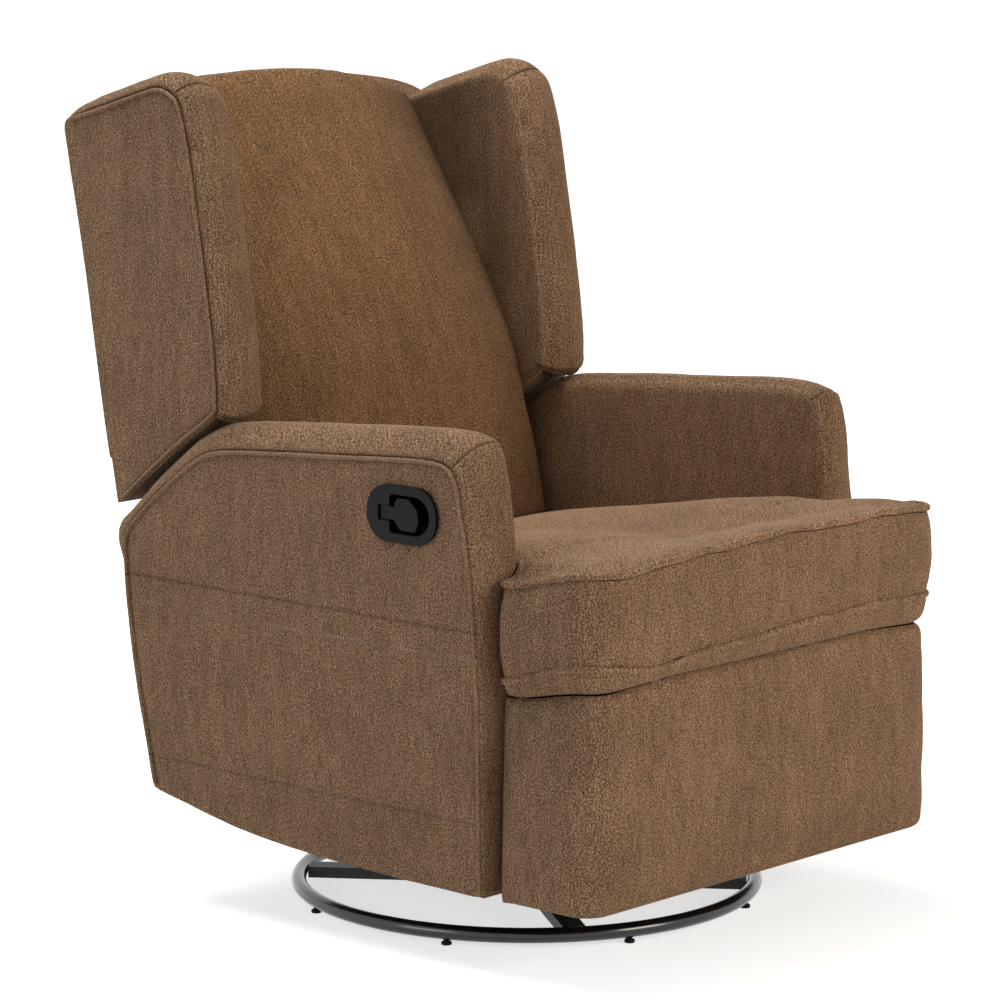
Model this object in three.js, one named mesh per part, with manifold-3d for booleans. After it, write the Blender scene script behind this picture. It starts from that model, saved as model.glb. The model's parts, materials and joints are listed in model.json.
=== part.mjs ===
// Swivel glider recliner: an armchair with a reclining back and a boxed footrest, on a ring base that
// swivels and glides. Millimetres. +Z up, the chair faces -Y, and X = 0 is its middle plane. Places are
// first measured from the swivel axis, and the last lines centre the chair's footprint on the origin.
import * as THREE from "three";
import { mergeVertices } from "three/addons/utils/BufferGeometryUtils.js";
import Module from "manifold-3d";

const wasm = await Module();
wasm.setup();

// Sizes shared by many pieces
const clearance = 0.3;
const overrun = 3;
const roundSteps = 6;
const endSteps = 3;
const wideSteps = 14;
const curveSteps = 2.4;

// Floor ring, spider and swivel
const ring = { radius: 308, tube: 20, aroundSteps: 48, tubeSteps: 9 };
const glide = { count: 8, height: 6.7, radius: 12, neck: 8 };
const spider = {
  barWidth: 30,
  barHeight: 15,
  barAngle: 0.63,
  plateRadius: 92,
  plateThickness: 5,
  boreRadius: 9,
};
const race = {
  radius: 84,
  innerRadius: 40,
  thickness: 3,
  rise: 4,
  grooveRadius: 62,
  ballRadius: 5,
  ballCount: 10,
};
const bolt = { radius: 8, headRadius: 15, headHeight: 6 };

// Glider: a stand on the swivel carries the chair on four hanging links
const stand = { halfWidth: 150, plate: 4, deckThickness: 4, deckLength: 250, waist: 56, foot: 28, eye: 14 };
const swing = { spread: 90, topZ: 196, length: 96, width: 24, thickness: 4, pinRadius: 5.5 };
const hanger = { thickness: 4, width: 34, railWidth: 20, railHeight: 24, railRear: 205, railFront: 112 };
const crossTube = { depth: 26, height: 22, frontY: -8, rearY: 186 };

// Arms
const arm = {
  innerX: 302,
  thickness: 85,
  lean: 22,
  leanHeight: 500,
  frontY: -261,
  length: 645,
  undersideZ: 100,
  height: 547,
  crown: 34,
  sideCrown: 3,
  padding: 13,
};
const armFrame = { thickness: 30, rail: 55, clear: 4 };

// Lever in its bezel, on the sitter's right
const bezel = {
  y: -145,
  z: 573,
  width: 118,
  height: 78,
  corner: 36,
  lip: 4,
  rim: 7,
  depth: 24,
  wall: 3,
  pocketFrontY: -193,
  pocketRearY: -124.5,
  pocketHeight: 53,
  pocketCorner: 7,
  slotRearY: -105.5,
  slotHeight: 21,
};
const lever = {
  pivotY: -113,
  rearY: -108,
  neckY: -131.5,
  frontY: -172,
  paddleHeight: 43,
  stemHeight: 18,
  thickness: 9,
};
const paddleShares = [
  [0, 0.66],
  [0.13, 1],
  [0.6, 1],
  [0.95, 0.35],
  [1, -0.4],
  [0.86, -1],
  [0.25, -1],
  [0.04, -0.62],
];

// Seat
const seatPlate = {
  outerX: 294,
  thickness: 3,
  frontY: -264,
  rearY: 262,
  lowZ: 288,
  highZ: 371,
  waistZ: 318,
};
const guide = { frontY: -108, rearY: 150, z: 305, radius: 6, travel: 50, slotClear: 0.5 };
const baseRail = { thickness: 4, frontY: -250, rearY: 300, lowZ: 228, highZ: 326 };
const seatFrame = { frontY: -232, rearY: 204, lowZ: 352, highZ: 386, rail: 32 };
const spring = { count: 3, pitch: 130, wire: 2.2, waves: 6, amplitude: 22, z: 380, steps: 36, sides: 5 };
const cushion = {
  halfWidth: 300,
  earHalfWidth: 349,
  frontY: -425,
  frontBow: 8,
  earRearY: -269,
  rearY: 196,
  corner: 34,
  lowSeamZ: 399,
  topSeamZ: 522,
  topCrown: 26,
  lipDrop: 22,
  border: 9,
  fullness: 0.5,
};

// Back
const backHinge = { y: 235, z: 335, pinRadius: 7, eye: 17 };
const rear = { y: 414, z: 537, rake: 0.1914 };
const backFrame = {
  halfWidth: 274.6,
  thickness: 21,
  lowZ: 300,
  highZ: 985,
  post: 42,
  railHeight: 60,
  railCount: 3,
};
const backCushion = {
  halfWidth: 274,
  frontCrown: 16,
  lowY: 212,
  lowZ: 458,
  topY: 484,
  sideTopZ: 1042,
  middleTopZ: 1089,
  steps: 14,
};
const wing = {
  innerX: 275,
  thickness: 85,
  frontY: 219,
  depth: 291,
  lowZ: 526,
  height: 558,
  crown: 21,
  sideCrown: 3,
};
const backCover = { lowZ: 232, topZ: 1046, topCrown: 34, halfWidth: 358, edge: 11, crown: 20 };
const backBracket = { thickness: 3, arm: 30 };

// Footrest box and its linkage. The virtual pivot is the line about which the box swings by a quarter turn
const footrest = {
  halfWidth: 348,
  frontY: -418,
  rearY: -267.5,
  lowZ: 95,
  highZ: 371,
  corner: 38,
  border: 7,
  faceCrown: 4,
  pad: 73,
  side: 40,
  floor: 38,
};
const board = { thickness: 12, margin: 3 };
const linkage = {
  virtualY: -444.5,
  virtualZ: 518.5,
  driveY: -250,
  driveZ: 350,
  supportRun: 70,
  supportDrop: 15,
  crank: 56,
  crankTilt: 0.087,
  ottomanY: -318,
  ottomanZ: 345,
  width: 22,
  thickness: 3,
  pitch: 4.5,
  pinRadius: 5,
  bossRadius: 8,
  openClearance: 0.6,
};
const torqueTube = { radius: 11, wall: 2.5 };

// Finishes
function finish(color, roughness, metalness) {
  return new THREE.MeshStandardMaterial({ color, roughness, metalness });
}
const fabric = finish(0x7c6049, 0.95, 0);
const blackSteel = finish(0x18181a, 0.3, 0.6);
const zincSteel = finish(0x8c8f92, 0.4, 0.9);
const timber = finish(0xb08a5c, 0.8, 0);
const blackPlastic = finish(0x1b1b1c, 0.5, 0);
const nylon = finish(0xd8d6cf, 0.6, 0);

const chair = new THREE.Group();

function add(name, geometry, material) {
  const mesh = new THREE.Mesh(geometry, material);
  mesh.name = name;
  chair.add(mesh);
  return mesh;
}

// Joining and cutting
function solid(geometry) {
  const bare = new THREE.BufferGeometry();
  bare.setAttribute("position", geometry.getAttribute("position"));
  bare.setIndex(geometry.index);
  const merged = mergeVertices(bare);
  const triangles = [];
  for (let i = 0; i < merged.index.count; i += 3) {
    const [a, b, c] = [merged.index.getX(i), merged.index.getX(i + 1), merged.index.getX(i + 2)];
    if (a !== b && b !== c && c !== a) triangles.push(a, b, c);
  }
  const vertProperties = new Float32Array(merged.getAttribute("position").array);
  const triVerts = new Uint32Array(triangles);
  return new wasm.Manifold(new wasm.Mesh({ numProp: 3, vertProperties, triVerts }));
}

function surface(body) {
  const { vertProperties, triVerts } = body.getMesh();
  const geometry = new THREE.BufferGeometry();
  geometry.setAttribute("position", new THREE.BufferAttribute(vertProperties, 3));
  geometry.setIndex(new THREE.BufferAttribute(triVerts, 1));
  geometry.computeVertexNormals();
  return geometry;
}

function join(...geometries) {
  return surface(geometries.map(solid).reduce((body, next) => body.add(next)));
}

function cut(geometry, ...tools) {
  return surface(tools.map(solid).reduce((body, tool) => body.subtract(tool), solid(geometry)));
}

// Shapes. An outline is drawn in (y, z), (x, z) or (x, y) and extruded along the axis that is left
const basis = {
  x: new THREE.Matrix4().set(0, 0, 1, 0, 1, 0, 0, 0, 0, 1, 0, 0, 0, 0, 0, 1),
  y: new THREE.Matrix4().set(1, 0, 0, 0, 0, 0, -1, 0, 0, 1, 0, 0, 0, 0, 0, 1),
  z: new THREE.Matrix4(),
};

function prism(outline, axis, from, to, curveSegments = endSteps) {
  const depth = Math.abs(to - from);
  const start = axis === "y" ? -Math.max(from, to) : Math.min(from, to);
  const geometry = new THREE.ExtrudeGeometry(outline, { depth, bevelEnabled: false, curveSegments });
  geometry.translate(0, 0, start);
  return geometry.applyMatrix4(basis[axis]);
}

function block(x0, x1, y0, y1, z0, z1) {
  const geometry = new THREE.BoxGeometry(Math.abs(x1 - x0), y1 - y0, z1 - z0);
  return geometry.translate((x0 + x1) / 2, (y0 + y1) / 2, (z0 + z1) / 2);
}

function disc(u, v, radius) {
  const shape = new THREE.Shape();
  shape.absarc(u, v, radius, 0, Math.PI * 2);
  return shape;
}

function rod(axis, u, v, radius, from, to, curveSegments = roundSteps) {
  return prism(disc(u, v, radius), axis, from, to, curveSegments);
}

function bar(a, b, radius) {
  const shape = new THREE.Shape();
  const heading = Math.atan2(b.y - a.y, b.x - a.x);
  shape.absarc(b.x, b.y, radius, heading - Math.PI / 2, heading + Math.PI / 2);
  shape.absarc(a.x, a.y, radius, heading + Math.PI / 2, heading + Math.PI * 1.5);
  shape.closePath();
  return shape;
}

function polygon(points) {
  return new THREE.Shape(points.map(([u, v]) => new THREE.Vector2(u, v)));
}

function roundedRectangle(u, v, width, height, corner) {
  const shape = new THREE.Shape();
  const [halfU, halfV] = [width / 2 - corner, height / 2 - corner];
  shape.absarc(u + halfU, v + halfV, corner, 0, Math.PI / 2);
  shape.absarc(u - halfU, v + halfV, corner, Math.PI / 2, Math.PI);
  shape.absarc(u - halfU, v - halfV, corner, Math.PI, Math.PI * 1.5);
  shape.absarc(u + halfU, v - halfV, corner, Math.PI * 1.5, Math.PI * 2);
  shape.closePath();
  return shape;
}

function signedArea(points) {
  return THREE.ShapeUtils.area(points);
}

// A closed skin over rings of equal count. Its ends are fans about their middle points, or flat where a
// flattening is given
function loft(rings, flatten) {
  const count = rings[0].length;
  const vertices = rings.flat();
  const triangles = [];
  for (let r = 0; r + 1 < rings.length; r += 1) {
    for (let i = 0; i < count; i += 1) {
      const [a, b] = [r * count + i, r * count + ((i + 1) % count)];
      triangles.push([a, b, a + count], [b, b + count, a + count]);
    }
  }
  for (const end of [0, rings.length - 1]) {
    const first = end * count;
    const cap = flatten ? flatCap(rings[end].map(flatten)) : fanCap(count, vertices.length - first);
    if (!flatten) vertices.push(middleOf(rings[end]));
    for (const [i, j, k] of cap) {
      triangles.push(end > 0 ? [first + i, first + j, first + k] : [first + k, first + j, first + i]);
    }
  }
  let volume = 0;
  for (const [i, j, k] of triangles) {
    volume += vertices[i].dot(new THREE.Vector3().crossVectors(vertices[j], vertices[k]));
  }
  const geometry = new THREE.BufferGeometry().setFromPoints(vertices);
  geometry.setIndex(triangles.flatMap(([i, j, k]) => (volume > 0 ? [i, j, k] : [k, j, i])));
  geometry.computeVertexNormals();
  return geometry;
}

function middleOf(points) {
  return points.reduce((sum, point) => sum.add(point), new THREE.Vector3()).divideScalar(points.length);
}

function fanCap(count, middle) {
  return Array.from({ length: count }, (_, i) => [i, (i + 1) % count, middle]);
}

function flatCap(flat) {
  const along = signedArea(flat) > 0;
  return THREE.ShapeUtils.triangulateShape(flat, []).map(([i, j, k]) => {
    const same = signedArea([flat[i], flat[j], flat[k]]) > 0 === along;
    return same ? [i, j, k] : [k, j, i];
  });
}

// An upholstered panel: an outline whose border swells by `border`, with faces that dome by `low` and `high`
const borderShares = [0.08, 0.3, 0.7, 0.92];
const faceShares = [0.1, 0.32, 0.66, 1];
function padded({ outline, place, core, border = 0, low = 0, high = 0, fullness = 0.8, weight = () => 1 }) {
  const turn = signedArea(outline) > 0 ? 1 : -1;
  const outward = outline.map((point, i) => {
    const before = outline.at(i - 1);
    const after = outline[(i + 1) % outline.length];
    const along = after.clone().sub(before).normalize();
    return new THREE.Vector2(along.y, -along.x).multiplyScalar(turn * weight(point));
  });
  const faceRing = (share, side, lift) => {
    const rise = lift * Math.sin((share * Math.PI) / 2) ** fullness;
    return outline.map((point) => place(point.clone().lerp(core(point), share), side, side ? rise : -rise));
  };
  const borderRing = (share) => {
    const swell = border * Math.sin(share * Math.PI) ** 0.55;
    return outline.map((point, i) => place(point.clone().addScaledVector(outward[i], swell), share, 0));
  };
  const lowShares = low > 0 ? faceShares.toReversed() : [];
  const borderSwells = border > 0 ? borderShares : [];
  const highShares = high > 0 ? faceShares : [];
  return loft([
    ...lowShares.map((share) => faceRing(share, 0, low)),
    outline.map((point) => place(point, 0, 0)),
    ...borderSwells.map(borderRing),
    outline.map((point) => place(point, 1, 0)),
    ...highShares.map((share) => faceRing(share, 1, high)),
  ]);
}

// An outline from stretches of share points: each stretch is a smooth curve, and stretches meet at corners
function outlineFrom(stretches, u0, v0, width, height) {
  const points = [];
  for (const shares of stretches) {
    const knots = shares.map(([u, v]) => new THREE.Vector2(u0 + u * width, v0 + v * height));
    const curve = new THREE.SplineCurve(knots);
    const stretch = knots.length > 2 ? curve.getPoints(Math.round(curveSteps * (knots.length - 1))) : knots;
    points.push(...stretch.slice(0, -1));
  }
  return points;
}

const sides = [
  { side: -1, hand: "right" },
  { side: 1, hand: "left" },
];

// Floor ring: a bent tube on eight floor glides
const ringZ = glide.height + clearance + ring.tube / 2;
const ringGeometry = new THREE.TorusGeometry(ring.radius, ring.tube / 2, ring.tubeSteps, ring.aroundSteps);
add("base_ring", ringGeometry.translate(0, 0, ringZ), blackSteel);
for (let i = 0; i < glide.count; i += 1) {
  const angle = ((i + 0.5) / glide.count) * Math.PI * 2;
  const profile = [
    [0, 0],
    [glide.radius * 0.8, 0],
    [glide.radius, glide.height * 0.3],
    [glide.radius, glide.height * 0.6],
    [glide.neck, glide.height],
    [0, glide.height],
  ].map(([r, z]) => new THREE.Vector2(r, z));
  const geometry = new THREE.LatheGeometry(profile, roundSteps * 2).rotateX(Math.PI / 2);
  geometry.translate(ring.radius * Math.cos(angle), ring.radius * Math.sin(angle), 0);
  add(`floor_glide_${i + 1}`, geometry, nylon);
}

// Spider: two bars welded across the ring, with the swivel plate on top
const spiderZ = ringZ - spider.barHeight / 2;
const plateZ = spiderZ + spider.barHeight;
const ringInside = (ring.radius - ring.tube / 2) * Math.cos(Math.PI / ring.aroundSteps);
const barReach = Math.sqrt(ringInside ** 2 - (spider.barWidth / 2) ** 2) - clearance;
const spiderBars = [-1, 1].map((turn) =>
  block(-barReach, barReach, -spider.barWidth / 2, spider.barWidth / 2, spiderZ, plateZ).rotateZ(
    Math.PI / 2 + turn * spider.barAngle,
  ),
);
const spiderTop = plateZ + spider.plateThickness;
const spiderPlate = rod("z", 0, 0, spider.plateRadius, plateZ - overrun, spiderTop, wideSteps);
const swivelBore = rod("z", 0, 0, spider.boreRadius, spiderZ - overrun, plateZ + overrun * 2);
add("base_spider", cut(join(...spiderBars, spiderPlate), swivelBore), blackSteel);

// Swivel: two pressed races with a ring of balls between them, held by one bolt
const lowerRaceZ = spiderTop + clearance;
function pressedRace(z, rise) {
  const inner = race.grooveRadius - race.ballRadius;
  const outer = race.grooveRadius + race.ballRadius;
  const under = [
    [spider.boreRadius, z],
    [race.innerRadius, z],
    [inner, z + rise],
    [outer, z + rise],
    [race.radius, z],
  ];
  const over = under.map(([r, height]) => [r, height + race.thickness]).reverse();
  const profile = [...under, ...over, under[0]].map(([r, height]) => new THREE.Vector2(r, height));
  return new THREE.LatheGeometry(profile, wideSteps * 1.5).rotateX(Math.PI / 2);
}
add("swivel_race_lower", pressedRace(lowerRaceZ, race.rise), zincSteel);
const ballZ = lowerRaceZ + race.rise + race.thickness + clearance + race.ballRadius;
const upperRaceZ = ballZ + race.ballRadius + clearance + race.rise;
const cageHalf = race.ballRadius / 2;
const cageProfile = [
  [race.grooveRadius - cageHalf, ballZ - cageHalf],
  [race.grooveRadius + cageHalf, ballZ - cageHalf],
  [race.grooveRadius + cageHalf, ballZ + cageHalf],
  [race.grooveRadius - cageHalf, ballZ + cageHalf],
  [race.grooveRadius - cageHalf, ballZ - cageHalf],
].map(([r, z]) => new THREE.Vector2(r, z));
const cage = new THREE.LatheGeometry(cageProfile, race.ballCount * 2).rotateX(Math.PI / 2);
const balls = Array.from({ length: race.ballCount }, (_, i) => {
  const angle = (i / race.ballCount) * Math.PI * 2;
  const ball = new THREE.SphereGeometry(race.ballRadius, roundSteps, endSteps + 1).rotateX(Math.PI / 2);
  return ball.translate(race.grooveRadius * Math.cos(angle), race.grooveRadius * Math.sin(angle), ballZ);
});
add("swivel_ball_ring", join(cage, ...balls), nylon);
add("swivel_race_upper", pressedRace(upperRaceZ, -race.rise), zincSteel);

const deckZ = upperRaceZ + race.thickness + clearance;
const deckTop = deckZ + stand.deckThickness;
const boltGap = spider.boreRadius - bolt.radius;
const boltLow = spiderZ - bolt.headHeight - clearance;
add(
  "swivel_bolt",
  join(
    rod("z", 0, 0, bolt.headRadius, boltLow, spiderZ - clearance),
    rod("z", 0, 0, bolt.radius, boltLow, deckTop + clearance + overrun),
    rod("z", 0, 0, bolt.headRadius, deckTop + clearance, deckTop + clearance + bolt.headHeight),
  ),
  zincSteel,
);

// Glider stand: a deck on the upper race with a pressed side plate at each end
const deckHalf = stand.halfWidth - clearance;
add(
  "stand_deck",
  cut(
    block(-deckHalf, deckHalf, -stand.deckLength / 2, stand.deckLength / 2, deckZ, deckTop),
    rod("z", 0, 0, bolt.radius + boltGap, deckZ - overrun, deckTop + overrun),
  ),
  blackSteel,
);
const hook = swing.spread;
const standOuter = stand.halfWidth + stand.plate;
for (const { side, hand } of sides) {
  const half = stand.deckLength / 2;
  const shape = new THREE.Shape();
  shape.moveTo(-half, deckZ);
  shape.lineTo(half, deckZ);
  shape.lineTo(half, deckZ + stand.foot);
  shape.lineTo(hook + stand.eye, swing.topZ);
  shape.absarc(hook, swing.topZ, stand.eye, 0, Math.PI);
  shape.lineTo(hook - stand.eye, deckZ + stand.waist);
  shape.lineTo(-hook + stand.eye, deckZ + stand.waist);
  shape.lineTo(-hook + stand.eye, swing.topZ);
  shape.absarc(-hook, swing.topZ, stand.eye, 0, Math.PI);
  shape.lineTo(-half, deckZ + stand.foot);
  shape.closePath();
  const plate = prism(shape, "x", side * stand.halfWidth, side * standOuter);
  const foot = block(
    side * (stand.halfWidth - stand.foot),
    side * (stand.halfWidth + overrun),
    -half,
    half,
    deckTop + clearance,
    deckTop + clearance + stand.plate,
  );
  const eyes = [-hook, hook].map((y) => {
    const reach = [side * (stand.halfWidth - overrun), side * (standOuter + overrun)];
    return rod("x", y, swing.topZ, swing.pinRadius + clearance, ...reach);
  });
  add(`stand_plate_${hand}`, cut(join(plate, foot), ...eyes), blackSteel);
}

// Swing links: each hangs from the stand by its upper pin and carries the hanger on its lower pin
const linkInner = standOuter + clearance;
const linkOuter = linkInner + swing.thickness;
const hangerInner = linkOuter + clearance;
const hangerOuter = hangerInner + hanger.thickness;
const swingLowZ = swing.topZ - swing.length;
for (const [where, y] of [
  ["rear", hook],
  ["front", -hook],
]) {
  for (const { side, hand } of sides) {
    const [top, low] = [new THREE.Vector2(y, swing.topZ), new THREE.Vector2(y, swingLowZ)];
    const strap = prism(bar(top, low, swing.width / 2), "x", side * linkInner, side * linkOuter);
    const [pinInner, pinOuter] = [stand.halfWidth - overrun, hangerOuter + overrun];
    const upperPin = rod("x", y, swing.topZ, swing.pinRadius, side * pinInner, side * linkOuter);
    const lowerPin = rod("x", y, swingLowZ, swing.pinRadius, side * linkInner, side * pinOuter);
    add(`glide_link_${where}_${hand}`, join(strap, upperPin, lowerPin), blackSteel);
  }
}

// Hanger rails: a tube over the stand with two straps down to the lower pins
const hangerTopZ = swing.topZ + stand.eye + 6 * clearance;
const railTop = hangerTopZ + hanger.railHeight;
for (const { side, hand } of sides) {
  const railInner = hangerInner - (hanger.railWidth - hanger.thickness) / 2;
  const tube = block(
    side * railInner,
    side * (railInner + hanger.railWidth),
    -hanger.railFront,
    hanger.railRear,
    hangerTopZ,
    railTop,
  );
  const straps = [-hook, hook].map((y) => {
    const [low, high] = [new THREE.Vector2(y, swingLowZ), new THREE.Vector2(y, hangerTopZ)];
    return prism(bar(low, high, hanger.width / 2), "x", side * hangerInner, side * hangerOuter);
  });
  const eyes = [-hook, hook].map((y) => {
    const reach = [side * (hangerInner - overrun), side * (hangerOuter + overrun)];
    return rod("x", y, swingLowZ, swing.pinRadius + clearance, ...reach);
  });
  add(`hanger_rail_${hand}`, cut(join(tube, ...straps), ...eyes), blackSteel);
}

// Cross tubes lie on the hanger rails and end at the base rails
const baseRailOuter = arm.innerX - clearance;
const baseRailInner = baseRailOuter - baseRail.thickness;
for (const [where, y] of [
  ["front", crossTube.frontY],
  ["rear", crossTube.rearY],
]) {
  const reach = baseRailInner - clearance;
  const low = railTop + clearance;
  const half = crossTube.depth / 2;
  const tube = block(-reach, reach, y - half, y + half, low, low + crossTube.height);
  add(`cross_tube_${where}`, tube, blackSteel);
}

// Base rails: fixed to the arms, with the slots in which the seat's guide pins run
const guideYs = [guide.frontY, guide.rearY];
for (const { side, hand } of sides) {
  const wall = prism(
    polygon([
      [baseRail.frontY, guide.z - guide.radius * 3],
      [crossTube.frontY - crossTube.depth, baseRail.lowZ],
      [baseRail.rearY, baseRail.lowZ],
      [baseRail.rearY, baseRail.highZ],
      [baseRail.frontY, baseRail.highZ],
    ]),
    "x",
    side * baseRailInner,
    side * baseRailOuter,
  );
  const slots = guideYs.map((y) => {
    const [front, back] = [new THREE.Vector2(y - guide.travel, guide.z), new THREE.Vector2(y, guide.z)];
    const outline = bar(front, back, guide.radius + guide.slotClear);
    return prism(outline, "x", side * (baseRailInner - overrun), side * (baseRailOuter + overrun));
  });
  add(`base_rail_${hand}`, cut(wall, ...slots), blackSteel);
}

// Arms: shares of the arm's length and height, from the front foot round over the top to the rear foot
const armStretchShares = [
  [
    [0.01, 0],
    [0, 0.3],
    [0.002, 0.6],
    [0.02, 0.84],
    [0.045, 0.955],
    [0.095, 1],
    [0.2, 1.002],
    [0.36, 0.99],
    [0.62, 0.965],
    [0.78, 0.925],
    [0.895, 0.825],
    [0.975, 0.73],
    [0.998, 0.64],
    [0.97, 0.42],
    [0.93, 0.09],
  ],
  [
    [0.93, 0.09],
    [0.68, 0.035],
    [0.415, 0.01],
    [0.01, 0],
  ],
];
const armOutline = outlineFrom(armStretchShares, arm.frontY, arm.undersideZ, arm.length, arm.height);
const armCentre = new THREE.Vector2(arm.frontY + arm.length / 2, arm.undersideZ + arm.height / 2);
const armFrameFrontY = arm.frontY + arm.padding + armFrame.clear;
function armOuterX(z) {
  const rise = THREE.MathUtils.clamp((z - arm.undersideZ) / arm.leanHeight, 0, 1);
  return arm.innerX + arm.thickness - arm.lean * (1 - Math.sin((rise * Math.PI) / 2));
}
// The space inside an arm cover, drawn in by an inset, with the heights of its front and rear feet
function armInside(inset, frontFoot, rearFoot) {
  const front = arm.frontY + arm.padding * 1.5 + inset;
  return [
    [front, arm.undersideZ + frontFoot],
    [arm.frontY + arm.length * 0.88 - inset, arm.undersideZ + rearFoot],
    [arm.frontY + arm.length * 0.93 - inset, arm.undersideZ + arm.height * 0.66],
    [arm.frontY + arm.length * 0.8 - inset, arm.undersideZ + arm.height * 0.86 - inset],
    [arm.frontY + arm.length * 0.6, arm.undersideZ + arm.height * 0.92 - inset],
    [front, arm.undersideZ + arm.height * 0.95 - inset],
  ];
}
for (const { side, hand } of sides) {
  const cover = padded({
    outline: armOutline,
    place: (point, share, lift) => {
      const x = THREE.MathUtils.lerp(arm.innerX, armOuterX(point.y), share) + lift;
      return new THREE.Vector3(side * x, point.x, point.y);
    },
    core: (point) => armCentre.clone().lerp(point, 0.25),
    border: arm.crown,
    high: arm.sideCrown,
    weight: (point) => {
      const height = (point.y - arm.undersideZ) / arm.height;
      const rearward = (point.x - arm.frontY) / arm.length;
      const upper = THREE.MathUtils.smoothstep(height, 0.62, 0.98);
      const fore = rearward < 0.2 ? 0.1 * THREE.MathUtils.smoothstep(height, 0, 0.2) : 0;
      const aft = rearward > 0.88 ? 0.3 * THREE.MathUtils.smoothstep(height, 0.1, 0.4) : 0;
      return Math.max(upper * (rearward > 0.88 ? 0.6 : 1), fore, aft);
    },
  });
  const hollow = prism(
    polygon(armInside(0, -arm.padding, -arm.padding)),
    "x",
    side * (arm.innerX + arm.padding),
    side * (arm.innerX + arm.thickness - arm.lean - arm.padding),
  );
  const tools = [hollow];
  if (side < 0) tools.push(bezelPocket());
  add(`arm_${hand}`, cut(cover, ...tools), fabric);

  // Arm frame: a timber ladder inside the cover
  const [low, high] = [arm.undersideZ + arm.height * 0.1, arm.undersideZ + arm.height * 0.88];
  const rearY = arm.frontY + arm.length * 0.84;
  const frameInner = arm.innerX + arm.padding + clearance;
  const frameOuter = frameInner + armFrame.thickness;
  const window = (from, to) => {
    const outline = polygon([
      [from, low + armFrame.rail * 1.9],
      [to, low + armFrame.rail * 1.9],
      [to, high - armFrame.rail * 1.7],
      [from, high - armFrame.rail * 1.2],
    ]);
    return prism(outline, "x", side * (frameInner - overrun), side * (frameOuter + overrun));
  };
  const middleY = (armFrameFrontY + rearY) / 2;
  const windows = [
    window(armFrameFrontY + bezel.width + armFrame.rail, middleY + armFrame.rail),
    window(middleY + armFrame.rail * 2, rearY - armFrame.rail),
  ];
  const frame = polygon(armInside(armFrame.clear, armFrame.clear, arm.height * 0.09));
  add(`arm_frame_${hand}`, cut(prism(frame, "x", side * frameInner, side * frameOuter), ...windows), timber);
}

// Handle bezel: an oval cup let into the arm at the sitter's right, with the release lever inside
function bezelPocket() {
  const outline = roundedRectangle(
    bezel.y,
    bezel.z,
    bezel.width - bezel.rim * 2 + clearance * 2,
    bezel.height - bezel.rim * 2 + clearance * 2,
    bezel.corner - bezel.rim,
  );
  const face = armOuterX(bezel.z);
  return prism(outline, "x", -(face - bezel.depth - clearance), -(face + arm.sideCrown + overrun));
}
const bezelFace = armOuterX(bezel.z) + arm.sideCrown + clearance;
const bezelOutside = roundedRectangle(bezel.y, bezel.z, bezel.width, bezel.height, bezel.corner);
const bezelCupOutside = roundedRectangle(
  bezel.y,
  bezel.z,
  bezel.width - bezel.rim * 2,
  bezel.height - bezel.rim * 2,
  bezel.corner - bezel.rim,
);

// Its pocket is a slot for the lever's stem that opens into a round-fronted recess for the fingers
function leverPocket() {
  const { pocketRearY, pocketFrontY, pocketCorner, slotRearY, z } = bezel;
  const [half, slotHalf] = [bezel.pocketHeight / 2, bezel.slotHeight / 2];
  const shape = new THREE.Shape();
  shape.moveTo(slotRearY, z - slotHalf);
  shape.lineTo(slotRearY, z + slotHalf);
  shape.lineTo(pocketRearY, z + slotHalf);
  shape.lineTo(pocketRearY, z + half - pocketCorner);
  shape.quadraticCurveTo(pocketRearY, z + half, pocketRearY - pocketCorner, z + half);
  shape.absarc(pocketFrontY + half, z, half, Math.PI / 2, Math.PI * 1.5);
  shape.lineTo(pocketRearY - pocketCorner, z - half);
  shape.quadraticCurveTo(pocketRearY, z - half, pocketRearY, z - half + pocketCorner);
  shape.lineTo(pocketRearY, z - slotHalf);
  shape.closePath();
  return shape;
}
const cupBottom = armOuterX(bezel.z) - bezel.depth;
const pocketReach = [-(cupBottom + bezel.wall), -(bezelFace + bezel.lip + overrun)];
add(
  "handle_bezel",
  cut(
    join(
      prism(bezelOutside, "x", -bezelFace, -(bezelFace + bezel.lip), roundSteps),
      prism(bezelCupOutside, "x", -cupBottom, -(bezelFace + overrun / 2)),
    ),
    prism(leverPocket(), "x", ...pocketReach, roundSteps),
  ),
  blackPlastic,
);

// Release lever: a stem on an upright pin, with a chamfered paddle that the fingers pull outwards
const leverOuter = bezelFace + bezel.lip * 0.4;
const leverInner = leverOuter - lever.thickness;
const leverOutline = polygon([
  [lever.rearY, bezel.z + lever.stemHeight / 2],
  [lever.neckY, bezel.z + lever.stemHeight / 2],
  ...paddleShares.map(([forward, height]) => [
    lever.neckY + (lever.frontY - lever.neckY) * forward,
    bezel.z + (lever.paddleHeight / 2) * height,
  ]),
  [lever.neckY, bezel.z - lever.stemHeight / 2],
  [lever.rearY, bezel.z - lever.stemHeight / 2],
]);
const leverPin = bezel.slotHeight / 2 - clearance;
add(
  "release_lever",
  join(
    prism(leverOutline, "x", -leverInner, -leverOuter),
    rod(
      "z",
      -(leverInner + leverOuter) / 2,
      lever.pivotY,
      lever.thickness / 2,
      bezel.z - leverPin,
      bezel.z + leverPin,
    ),
  ),
  blackPlastic,
);

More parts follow.
